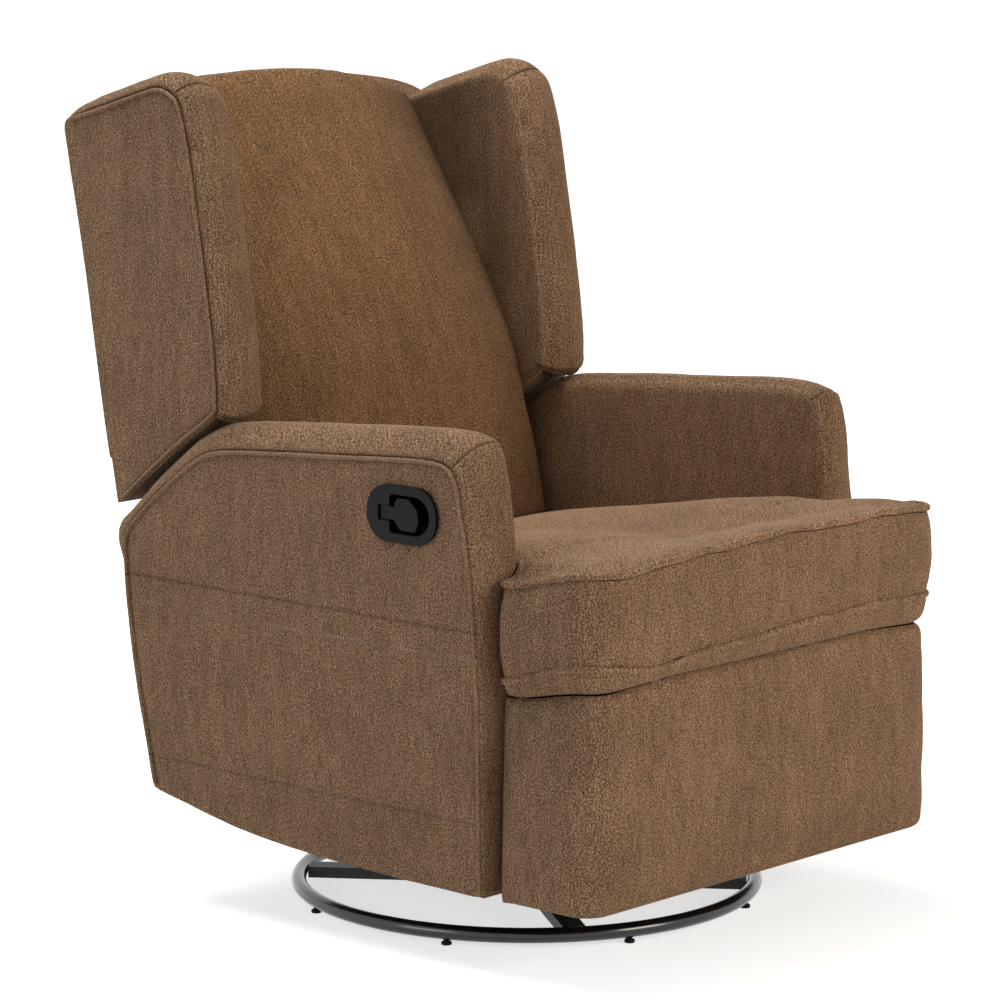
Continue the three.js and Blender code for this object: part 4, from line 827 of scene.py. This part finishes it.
for side, hand in ((-1, "right"), (1, "left")):
    left = side > 0
    fuller = np.zeros_like(arm_crown)
    fuller[:, 0] = -LEFT_FULLER * left * smoothstep(0.74, 0.95, arm_height) * np.clip(forward * 1.5, 0, 1)
    arm = boxed_side(
        f"arm_cover_{hand}", side, arm_outline, ARM_IN, lambda z, less=LEFT_NARROWER * left: arm_x_out(z) - less,
        arm_crown + fuller, (0.78, 0.3, 1.0, 1.0), arm_welt, arm_centre, 0.25, arm_cloth, side + 3, arm_limit, arm_ear,
    )
    upholster(arm, "carriage", f"arm_{hand}")
    # The wings get painted shade on their undersides and inner faces.
    wing = boxed_side(
        f"wing_cover_{hand}", side, wing_outline, WING_IN, lambda z: np.full(np.shape(z), WING_IN + WING_THICK + 0.0),
        wing_crown, (0.05, 0.85, 1.35, 0.7), smoothstep(6, 30, wing_reach), wing_centre, 0.3, cloth, side + 7,
        wing_limit, under=0.8 * smoothstep(-0.3, -0.7, wing_outline.out[:, 1]), inner=wing_inner_shade,
    )
    if left:
        for vertex in wing.data.vertices:
            vertex.co.z -= LEFT_WING_LOWER * float(smoothstep(LOWER_FROM, LOWER_TO, vertex.co.z))
    upholster(wing, "back", f"wing_{hand}")

# ---- Seat cushion ----
SEAT_HALF, EAR_HALF, SEAT_FRONT, SEAT_BOW, EAR_REAR, SEAT_REAR, SEAT_CORNER = 299.5, 349, -424, 8, -269, 196, 58
SEAT_UNDER, LIP_LOW, SEAT_CROWN, CROWN_REACH, SEAT_VOXEL = 387.2, 373.6, 14, 28, 5.0
SEAT_FALL, SIDE_FALL, TOP_DROOP, LOW_DROOP = 76, 9, 17, 34
PIPING, PROUD, BURIED, SEAM_SHADOW_RADIUS = 4.6, 2.6, -3.0, 1.3
LIP_RINGS = (
    (0.1, 9), (0.35, 9), (0.6, 9), (0.8, 9), (0.92, 9), (0.97, 9), (1, 9), (1, 4), (1, 0), (1, -3), (1, -3.5),
)
SIDE_RINGS = (0.03, 0.1, 0.2, 0.32, 0.45, 0.55, 0.68, 0.8, 0.9, 0.97)
TOP_RINGS = (1, 0.985, 0.96, 0.925, 0.88, 0.82, 0.74, 0.65, 0.55, 0.44, 0.32, 0.2, 0.1)


def curve(a, b, c, n=10):
    """Points of a quadratic arc from a, drawn towards b, to c."""
    t = np.linspace(0, 1, n)[:, None]
    a, b, c = (np.asarray(v, float) for v in (a, b, c))
    return (a * (1 - t) ** 2 + b * 2 * t * (1 - t) + c * t**2)[1:].tolist()


def seat_half():
    """Half of the cushion's T outline."""
    c, front = SEAT_CORNER, SEAT_FRONT
    pts = [[0, front - SEAT_BOW]]
    pts += curve(pts[-1], [EAR_HALF / 2, front - SEAT_BOW], [EAR_HALF - c, front], 16)
    pts += curve(pts[-1], [EAR_HALF, front], [EAR_HALF, front + c])
    pts += [[EAR_HALF, EAR_REAR - c / 3]]
    pts += curve(pts[-1], [EAR_HALF, EAR_REAR], [EAR_HALF - c / 3, EAR_REAR], 6)
    pts += [[SEAT_HALF + 14, EAR_REAR], [SEAT_HALF, EAR_REAR + 16], [SEAT_HALF, SEAT_REAR - c / 2]]
    pts += curve(pts[-1], [SEAT_HALF, SEAT_REAR], [SEAT_HALF - c / 2, SEAT_REAR], 6)
    return pts + [[0, SEAT_REAR]]


TOP_SEAM = (
    (-349, 521), (-300, 522), (-254, 525), (-177, 530), (-100, 535), (12, 538), (138, 536), (251, 534), (349, 528),
)
LOW_SEAM = (
    (-349, 411), (-301, 403), (-237, 399), (-174, 404), (-76, 410), (81, 416), (209, 417), (349, 412),
)


def parting(xy):
    """How much higher than usual the joint between the seat and the footrest lies."""
    x, y = np.abs(xy[:, 0]), xy[:, 1]
    return 7 * (1 - smoothstep(180, 330, x)) - 18 * smoothstep(-400, -275, y) * smoothstep(300, 335, x)


def seam_height(p, knots, dip):
    """A seam's height: along the front as its knots say, level behind, and drooping by `dip` at the ears."""
    x, y = p[:, 0], p[:, 1]
    line = spline(knots, 12)
    droop = dip * smoothstep(-410, -260, y) * smoothstep(300, 330, np.abs(x))
    flat = smoothstep(-330, -200, y)
    return np.interp(x, line[:, 0], line[:, 1]) * (1 - flat) + flat * np.mean(line[:, 1]) - droop


def seat_top_seam(p):
    wave = 1.3 * np.sin(p[:, 0] / 31 + 1.1) + 0.8 * np.sin(p[:, 0] / 14)
    slope = SEAT_FALL * smoothstep(-300, SEAT_REAR, p[:, 1])
    side = SIDE_FALL * smoothstep(-390, -270, p[:, 1]) * smoothstep(205, 300, np.abs(p[:, 0]))
    return seam_height(p, TOP_SEAM, TOP_DROOP) - slope - side + wave * (p[:, 1] < -380)


def seat_low_seam(p):
    wave = 1.2 * np.sin(p[:, 0] / 27 + 0.4) + 0.8 * np.sin(p[:, 0] / 12 + 2)
    return seam_height(p, LOW_SEAM, LOW_DROOP) + wave * (p[:, 1] < -380)


seat_p = even(mirrored(seat_half()), 8.0)
seat_out = outward(seat_p)
seat_border = smoothstep(0, 14, EAR_REAR - seat_p[:, 1])
seat_centre = np.array([0.0, -285.0])


def remeshed(obj, voxel):
    """Rebuilds a closed mesh with even faces, and gives its points in millimetres."""
    modifier = obj.modifiers.new("remesh", "REMESH")
    modifier.mode = "VOXEL"
    modifier.voxel_size = voxel * MM
    graph = bpy.context.evaluated_depsgraph_get()
    mesh = bpy.data.meshes.new_from_object(obj.evaluated_get(graph))
    obj.modifiers.clear()
    old, obj.data = obj.data, mesh
    bpy.data.meshes.remove(old)
    shade_smooth(mesh)
    return read(mesh.vertices, "co", 3) / MM - SHIFT


def build_seat():
    top, low = seat_top_seam(seat_p), seat_low_seam(seat_p)
    rings = []

    def ring(scale, inset, z):
        inset = np.reshape(inset, (-1, 1))
        xy = seat_centre + (seat_p - seat_out * inset - seat_centre) * scale
        rings.append(np.column_stack([xy, z]))

    for scale, inset in LIP_RINGS:
        depth = np.clip(((1 - scale) * 300 + inset + 3.5) / 24, 0, 1)
        ring(scale, inset * np.where(inset < 0, seat_border, 1), low)
        xy = rings[-1][:, :2]
        z = low - (low - LIP_LOW - parting(xy)) * (1 - (1 - depth) ** 3) ** 0.4
        framed = (xy[:, 1] > EAR_REAR - 14) & (np.abs(xy[:, 0]) < SEAT_HALF + 3)
        rings[-1][:, 2] = np.where(framed, np.maximum(z, SEAT_UNDER), z)
    for t in SIDE_RINGS:
        swell = (7.0 + 7.0 * np.abs(seat_out[:, 0]) ** 2) * math.sin(math.pi * t) ** 0.6 * seat_border
        ring(1, -swell, low + (top - low) * t)
    outline = np.column_stack([seat_p, top])
    for scale in TOP_RINGS:
        ring(scale, 1.5, top)
        xy = rings[-1][:, :2]
        edge = distance_to(np.column_stack([xy, top]), outline)
        level = seat_top_seam(xy) + (top.mean() - seat_top_seam(xy)) * (1 - scale)
        rings[-1][:, 2] = level + SEAT_CROWN * (1 - np.exp(-edge / CROWN_REACH))
    vertices, faces = skin(rings)
    obj = make("seat_cushion_cover", vertices, faces, cloth)
    points = remeshed(obj, SEAT_VOXEL)
    seams = np.vstack([outline, np.column_stack([seat_p, low])])
    free = smoothstep(4, 26, distance_to(points, seams))
    hidden = (points[:, 1] > EAR_REAR - 4) & (np.abs(points[:, 0]) > 290)
    free *= np.where(hidden & (distance_to(points, outline) > 12), 0, 1)
    free *= smoothstep(392, 402, points[:, 2])
    inflate(obj, free, 4.0, 8.0, 0.02)
    return obj


seat = build_seat()
upholster(seat, "seat", "seat_cushion")
cord_p = even(seat_p, 4.0)
cord_out = outward(cord_p)
for label, heights, turn in (("top", seat_top_seam(cord_p), -1), ("bottom", seat_low_seam(cord_p), 1)):
    wander = ripple(np.column_stack([cord_p, heights]), 25, 21 + turn) * 0.7
    proud = np.where(cord_p[:, 1] > EAR_REAR - 6, BURIED, PROUD)[:, None]
    path = np.column_stack([cord_p + cord_out * proud, heights + wander - turn * 0.4])
    cord = tube(f"seat_piping_{label}", path, PIPING, welt_cloth)
    inward = np.column_stack([cord_out, wander * 0]) * 1.2
    # A thin dark cord beside each piping: a painted shadow line.
    shadow = tube(f"seat_seam_shadow_{label}", path + [0, 0, turn * (PIPING + 0.2)] - inward, SEAM_SHADOW_RADIUS, seam_shadow, 6)
    for piece in (cord, shadow):
        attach(piece, "seat")

# ---- Back cushion ----
BACK_HALF, BACK_CROWN, BACK_LOW_Y, BACK_LOW_Z, BACK_TOP_Y = 274, 15, 212, 458, 484
BACK_SIDE_TOP, BACK_MID_TOP = 1042, 1089
BACK_FRONT = (
    (0.0, 0.0), (0.022, 0.053), (0.082, 0.175), (0.147, 0.269), (0.217, 0.389), (0.324, 0.495),
    (0.467, 0.613), (0.61, 0.719), (0.754, 0.825), (0.897, 0.928), (1.0, 1.0),
)
FRAME_THICK, FRAME_TOP, GAP = 21, 985, 0.3
back_table = spline(BACK_FRONT, 5)


def back_section(x):
    """The back cushion's section at x: crowned front, rolled top, and a rear that clears the wooden frame."""
    out = abs(x) / BACK_HALF
    top = BACK_MID_TOP + (BACK_SIDE_TOP - BACK_MID_TOP) * out**2.4
    swell = BACK_CROWN * (1 - out**4) * np.sin(math.pi * np.minimum(back_table[:, 1] + 0.12, 1)) ** 0.6
    front = np.column_stack(
        [
            BACK_LOW_Y + (BACK_TOP_Y - BACK_LOW_Y) * back_table[:, 0] - swell,
            BACK_LOW_Z + (top - BACK_LOW_Z) * back_table[:, 1],
        ]
    )
    over, behind = FRAME_TOP + 10, GAP * 2 + FRAME_THICK
    back = [
        (rear_y(top) - FRAME_THICK * 0.6, top - FRAME_THICK * 0.15),
        (rear_y(top - FRAME_THICK) - GAP, top - FRAME_THICK),
        (rear_y(over) - GAP, over),
        (rear_y(over) - behind, over),
        (rear_y(BACK_LOW_Z + 42) - behind, BACK_LOW_Z + 42),
        (rear_y(BACK_LOW_Z) - behind - 42, BACK_LOW_Z),
    ]
    section = np.vstack([front, back])
    return np.column_stack([np.full(len(section), x), section])


def build_back():
    across = -np.cos(np.linspace(0, math.pi, 65)) * BACK_HALF
    vertices, faces = skin([back_section(x) for x in across])
    faces = outwards(vertices, faces)
    normals = vertex_normals(vertices, faces)
    front = np.tile(np.arange(len(back_table) + 6) < len(back_table), len(across))
    front = np.append(front, [False, False]) & (np.abs(vertices[:, 0]) < BACK_HALF - 3)
    vertices = vertices + normals * (ripple(vertices, 120, 9) * 1.6 * front)[:, None]
    out = np.abs(vertices[:, 0]) / BACK_HALF
    # The back cushion's seam attribute is painted shade, darker towards its sides beside the wings.
    obj = make("back_cushion_cover", vertices, faces, back_bounce_cloth, 0.4 * np.minimum(out, 1) ** 2)
    loose = front * smoothstep(1.0, 0.9, out) * smoothstep(BACK_LOW_Z + 2, BACK_LOW_Z + 40, vertices[:, 2])
    inflate(obj, loose, 4.0, 12.0, 0.01)
    return obj


back = build_back()
upholster(back, "back", "back_cushion")

# ---- Outside back ----
COVER_LOW, COVER_HIGH, COVER_HALF = 232, 1080, 358
COVER_SHARES = (  # share of the height, of the width, and of the crown
    (0, 0.83, 0.3), (0.05, 0.83, 0.75), (0.16, 0.83, 1), (0.35, 0.83, 1), (0.375, 0.85, 1), (0.395, 0.92, 1),
    (0.415, 0.985, 1), (0.44, 1, 1), (0.64, 0.992, 1), (0.84, 0.978, 0.95), (0.93, 0.968, 0.85), (0.955, 0.93, 0.8),
    (0.975, 0.78, 0.7), (0.99, 0.52, 0.6), (1, 0.24, 0.5),
)


def build_cover():
    across = -np.cos(np.linspace(0, math.pi, 57))
    rings = []
    for height, width, crown in spline(COVER_SHARES, 4):
        z = COVER_LOW + (COVER_HIGH - COVER_LOW) * height
        front, half = rear_y(z) + 0.4, COVER_HALF * width
        bulge = 5 + 26 * crown * (1 - np.abs(across) ** 3)
        outside = np.column_stack([across * half, front + bulge, np.full(len(across), z)])
        rings.append(np.vstack([[-half, front, z], outside, [half, front, z]]))
    vertices, faces = skin(rings)
    normals = vertex_normals(vertices, faces)
    vertices = vertices + normals * (ripple(vertices, 120, 11) * 1.2 * (normals[:, 1] > 0.4))[:, None]
    return make("outside_back", vertices, faces, cloth)


cover = build_cover()
upholster(cover, "back", "back_cover")

# ---- Footrest ----
FOOT_HALF, FOOT_FRONT, FOOT_REAR, FOOT_LOW, FOOT_HIGH, FOOT_CORNER = 348, -417, -268, 95, 372, 38
FOOT_PAD, FOOT_SIDE, FOOT_FLOOR = 73, 40, 38
FOOT_RINGS = (
    0, 0.006, 0.018, 0.04, 0.07, 0.11, 0.16, 0.23, 0.3, 0.38, 0.46, 0.54, 0.62, 0.7, 0.77, 0.84, 0.89, 0.93, 0.96,
    0.982, 0.994, 1,
)


def build_footrest():
    c = FOOT_CORNER
    corner = [
        [FOOT_HALF - c + c * math.cos(a), FOOT_FRONT + c + c * math.sin(a)] for a in np.linspace(-math.pi / 2, 0, 12)
    ]
    inner = FOOT_HALF - FOOT_SIDE
    half = [[0, FOOT_FRONT], [150, FOOT_FRONT], *corner, [FOOT_HALF, FOOT_REAR], [inner, FOOT_REAR]]
    half += [[inner, FOOT_FRONT + FOOT_PAD], [0, FOOT_FRONT + FOOT_PAD]]
    p = even(mirrored(half), 7.0)
    out = outward(p)
    outer = (p[:, 1] < FOOT_FRONT + c + 4) | (np.abs(p[:, 0]) > FOOT_HALF - 3)
    outer = outer * smoothstep(FOOT_REAR, FOOT_REAR - 20, p[:, 1])
    rings, loose = [], []
    across = np.exp(-(((np.abs(p[:, 0]) - FOOT_HALF + 6) / 5) ** 2))
    corner_seam = across * np.exp(-(((p[:, 1] - FOOT_FRONT - 22) / 9) ** 2))
    for t in FOOT_RINGS:
        z = FOOT_LOW + (FOOT_HIGH - FOOT_LOW) * t + parting(p) * t**3
        edge = min(t, 1 - t) * (FOOT_HIGH - FOOT_LOW)
        roll = (6.5 * max(0.0, 1 - edge / 9) ** 2) * (0.25 + 0.75 * outer)
        swell = 6.5 * math.sin(math.pi * t) ** 0.5 * outer
        notch = 2.5 * corner_seam * smoothstep(0.86, 0.97, t)
        xy = p + out * (swell - roll - notch)[:, None]
        xy[:, 0] *= 1 - 7 / FOOT_HALF * t
        rings.append(np.column_stack([xy, z]))
        loose.append(outer * smoothstep(0, 0.12, min(t, 1 - t)))
    vertices, faces = walls(rings)
    last = (len(rings) - 1) * len(p)
    caps = tessellate_polygon([[Vector((x, y, 0)) for x, y in p]])
    faces += [list(t) for t in caps] + [[last + i for i in t][::-1] for t in caps]
    faces = outwards(vertices, faces)
    obj = make("footrest_cover", vertices, faces, cloth)
    inflate(obj, np.concatenate(loose), 4.0, 7.0, 0.01)
    return obj


foot = build_footrest()
upholster(foot, "footrest", "footrest_pad")


def slab(name, x, y0, y1, z0, z1):
    """A thin padded floor with rounded edges."""
    rings = []
    lower = ((30, z0 + 1.5), (8, z0), (2, z0 + 2), (0, z0 + 5))
    for inset, z in lower + ((0, z1 - 5), (2, z1 - 2), (8, z1), (30, z1 - 1)):
        left, right, front, rear = -x + inset, x - inset, y0 + inset, y1 - inset
        corners = np.array([[left, front], [right, front], [right, rear], [left, rear]])
        edges = np.vstack([np.linspace(corners[i], corners[(i + 1) % 4], 24, endpoint=False) for i in range(4)])
        rings.append(np.column_stack([edges, np.full(len(edges), z)]))
    return make(name, *skin(rings), cloth)


underside = slab(
    "footrest_underside", FOOT_HALF - FOOT_SIDE - 8, FOOT_FRONT + FOOT_PAD - 8, FOOT_REAR - 2, FOOT_LOW + 1,
    FOOT_LOW + FOOT_FLOOR,
)
upholster(underside, "footrest")
decking = slab("seat_decking", 271, SEAT_REAR - 8, 268, 412, 424)
upholster(decking, "seat")

run_cloth()


def cut_pocket(cover, node, margin):
    """Opens a cover inside the rim of the rigid part that sits in it."""
    low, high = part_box(node)
    middle, half_y, half_z = (low + high) / 2, (high.y - low.y) / 2 - margin, (high.z - low.z) / 2 - margin
    angles = np.linspace(0, 2 * math.pi, 48, endpoint=False)
    straight = half_y - half_z
    y = middle.y + half_z * np.cos(angles) + straight * np.sign(np.cos(angles))
    z = middle.z + half_z * np.sin(angles)
    ends = [np.column_stack([np.full(48, x), y, z]) for x in (middle.x - 0.06, middle.x + 0.045)]
    vertices, faces = skin(ends)
    cutter = make("pocket_cutter", vertices / MM - SHIFT, faces, cover.data.materials[0])
    tree = tree_of(read(cover.data.vertices, "co", 3))
    seam = read(cover.data.attributes["seam"].data, "value")
    modifier = cover.modifiers.new("pocket", "BOOLEAN")
    modifier.operation, modifier.object, modifier.solver = "DIFFERENCE", cutter, "MANIFOLD"
    graph = bpy.context.evaluated_depsgraph_get()
    cover.data = bpy.data.meshes.new_from_object(cover.evaluated_get(graph))
    cover.modifiers.clear()
    bpy.data.objects.remove(cutter)
    if "seam" in cover.data.attributes:
        cover.data.attributes.remove(cover.data.attributes["seam"])
    write_painted_light(cover.data, [seam[tree.find(vertex.co)[1]] for vertex in cover.data.vertices])


cut_pocket(bpy.data.objects["arm_cover_right"], "handle_bezel", 0.007)
soft_names = ("arm_cover", "wing_cover", "seat_", "back_cushion_cover", "outside_back", "footrest_")
for obj in list(bpy.context.scene.objects):
    if obj.type == "MESH" and obj.name not in frame["nodes"] and obj.name.startswith(soft_names):
        unwrap(obj)
for piece in (seat, back, foot):
    smooth = piece.modifiers.new("fine", "SUBSURF")
    smooth.levels = smooth.render_levels = 1

# ---- Floor ring, glides, handle bezel and lever ----
RING_RADIUS, TUBE_RADIUS, RING_STEPS, WELDS, WELD_WIDTH, WELD_HEIGHT = 308, 10, 240, (-128, -100), 2.2, 0.35
GLIDE_SHARE, GLIDE_STEPS, GLIDE_PROFILE = 0.58, 32, (
    (0.55, 0), (0.9, 0.3), (1, 1.4), (1, 3.2), (0.86, 4.6), (0.6, 5.4), (0.5, 6.2),
)
turn = np.linspace(0, 2 * math.pi, RING_STEPS, endpoint=False)
joints = [math.radians(a) for a in WELDS]
collar = sum(np.exp(-(((turn - joint % (2 * math.pi)) * RING_RADIUS / WELD_WIDTH) ** 2)) for joint in joints)
ring_path = np.column_stack([RING_RADIUS * np.cos(turn), RING_RADIUS * np.sin(turn), np.full(RING_STEPS, 17.0)])
floor_ring = tube("floor_ring", ring_path, TUBE_RADIUS + WELD_HEIGHT * collar, ring_steel, 28)
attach(floor_ring, "base")
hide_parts("base_ring")
around = np.linspace(0, 2 * math.pi, GLIDE_STEPS, endpoint=False)
for number in range(1, 9):
    low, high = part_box(f"floor_glide_{number}")
    middle, radius = (low + high) / 2 / MM - Vector(SHIFT), (high.x - low.x) / 2 / MM * GLIDE_SHARE
    rings = []
    for r, z in (*GLIDE_PROFILE, (0.5, high.z / MM)):
        circle = [middle.x + radius * r * np.cos(around), middle.y + radius * r * np.sin(around)]
        rings.append(np.column_stack([*circle, np.full(GLIDE_STEPS, float(z))]))
    glide = make(f"turned_glide_{number}", *skin(rings), nylon)
    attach(glide, "base")
    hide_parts(f"floor_glide_{number}")
FLATTER, EDGE_WIDTH, EDGE_ANGLE = 0.93, 0.0012, 35
bezel_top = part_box("handle_bezel")[1].z
for source, name, body in (
    ("handle_bezel", "bezel_moulding", "carriage"),
    ("release_lever", "lever_moulding", "lever"),
):
    mesh = frame["nodes"][source].data.copy()
    for vertex in mesh.vertices:
        vertex.co.z = bezel_top - (bezel_top - vertex.co.z) * FLATTER
    moulding = placed(name, mesh)
    mesh.materials.clear()
    mesh.materials.append(plastic)
    edge = moulding.modifiers.new("edge", "BEVEL")
    edge.width, edge.segments = EDGE_WIDTH, 3
    edge.limit_method, edge.angle_limit = "ANGLE", math.radians(EDGE_ANGLE)
    edge.harden_normals = True
    shade_smooth(mesh)
    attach(moulding, body)
    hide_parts(source)

# ---- Carried-over nodes: the first match gives the material ----
NODE_MATERIALS = (
    (nylon, ("floor_glide", "swivel_ball_ring")),
    (timber, ("arm_frame", "seat_frame", "back_frame", "footrest_board")),
    (plastic, ("handle_bezel", "release_lever")),
    (zinc, ("drive_link", "support_link", "ottoman_link", "front_link", "seat_spring", "torque")),
    (zinc, ("swivel_race", "swivel_bolt", "footrest_bracket")),
    (cloth, ("arm_", "wing_", "back_cushion", "back_cover", "seat_cushion", "footrest_pad")),
    (black_steel, ("",)),
)
for name, node in frame["nodes"].items():
    node.data.materials.clear()
    node.data.materials.append(next(material for material, starts in NODE_MATERIALS if name.startswith(starts)))

# ---- Stage: floor, light and camera ----
FLOOR_HALF, GLOW_SCALE, NEAR_GLOW = 60, 0.4, 0.66
mesh = bpy.data.meshes.new("floor")
corners = [(x * FLOOR_HALF, y * FLOOR_HALF, 0) for x, y in ((-1, -1), (1, -1), (1, 1), (-1, 1))]
mesh.from_pydata(corners, [], [(0, 1, 2, 3)])
floor = placed("floor", mesh)
floor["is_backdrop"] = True
graph = Finish("pale_floor")
# The floor glows less near the chair, a painted shade that deepens its shadow there.
away = graph.node("VectorMath", {0: graph.place()}, operation="LENGTH").outputs["Value"]
level = graph.ramp(graph.maths("MULTIPLY", away, GLOW_SCALE), (0.22, NEAR_GLOW), (0.7, 1.0))
strength = graph.maths("MULTIPLY", graph.background_rays(), level)
glow = graph.node("Emission", {"Color": (1, 1, 1), "Strength": strength})
mesh.materials.append(graph.set(Base_Color=(0.8, 0.8, 0.8), Roughness=0.9, Specular_IOR_Level=0.1))
both = graph.node("AddShader", {0: graph.shader.outputs[0], 1: glow.outputs[0]})
graph.surface(both, "Material Output")

world = Graph(bpy.data.worlds.new("studio"))
bpy.context.scene.world = world.owner
ambient = world.nodes["Background"]
world.feed(ambient.inputs["Color"], (0.94, 0.97, 1.0))
world.feed(ambient.inputs["Strength"], 0.24)
white = world.node("Background", {"Color": (1, 1, 1)})
mix = world.node("MixShader", {0: world.background_rays(), 1: ambient.outputs[0], 2: white.outputs[0]})
world.surface(mix, "World Output")

for name, at, target, (width, height), power, color in (
    ("key", (0.8, -5.0, 2.0), (0, -0.1, 0.6), (2.0, 1.8), 116, (1.0, 0.91, 0.79)),
    ("fill", (-4.8, 0.5, 1.5), (0, 0, 0.6), (2.2, 1.8), 44, (0.86, 0.93, 1.0)),
    ("top", (-0.4, 1.2, 4.1), (0, 0, 0.6), (2.4, 2.4), 115, (1, 0.96, 0.91)),
):
    light = bpy.data.lights.new(name, "AREA")
    light.shape = "RECTANGLE"
    light.size, light.size_y, light.energy, light.color = width, height, power, color
    lamp = placed(name, light)
    lamp.location = at
    lamp.rotation_euler = (Vector(target) - Vector(at)).to_track_quat("-Z", "Y").to_euler()

AZIMUTH, ELEVATION, LENS, CAMERA_AT = math.radians(-47.6), math.radians(9.2), 147.69, (-4.0122, -3.6147, 1.4063)
level = math.cos(ELEVATION)
backward = Vector((math.sin(AZIMUTH) * level, -math.cos(AZIMUTH) * level, math.sin(ELEVATION)))
view = bpy.data.cameras.new("photo_view")
view.sensor_width, view.lens = 36, LENS
view.clip_start, view.clip_end = 0.05, 300
camera = placed("photo_view", view)
camera.location = Vector(CAMERA_AT) + Vector(SHIFT * MM)
camera.rotation_mode = "QUATERNION"
camera.rotation_quaternion = (-backward).to_track_quat("-Z", "Y")
bpy.context.scene.camera = camera
bpy.context.scene.view_settings.view_transform = "Standard"

low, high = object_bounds()
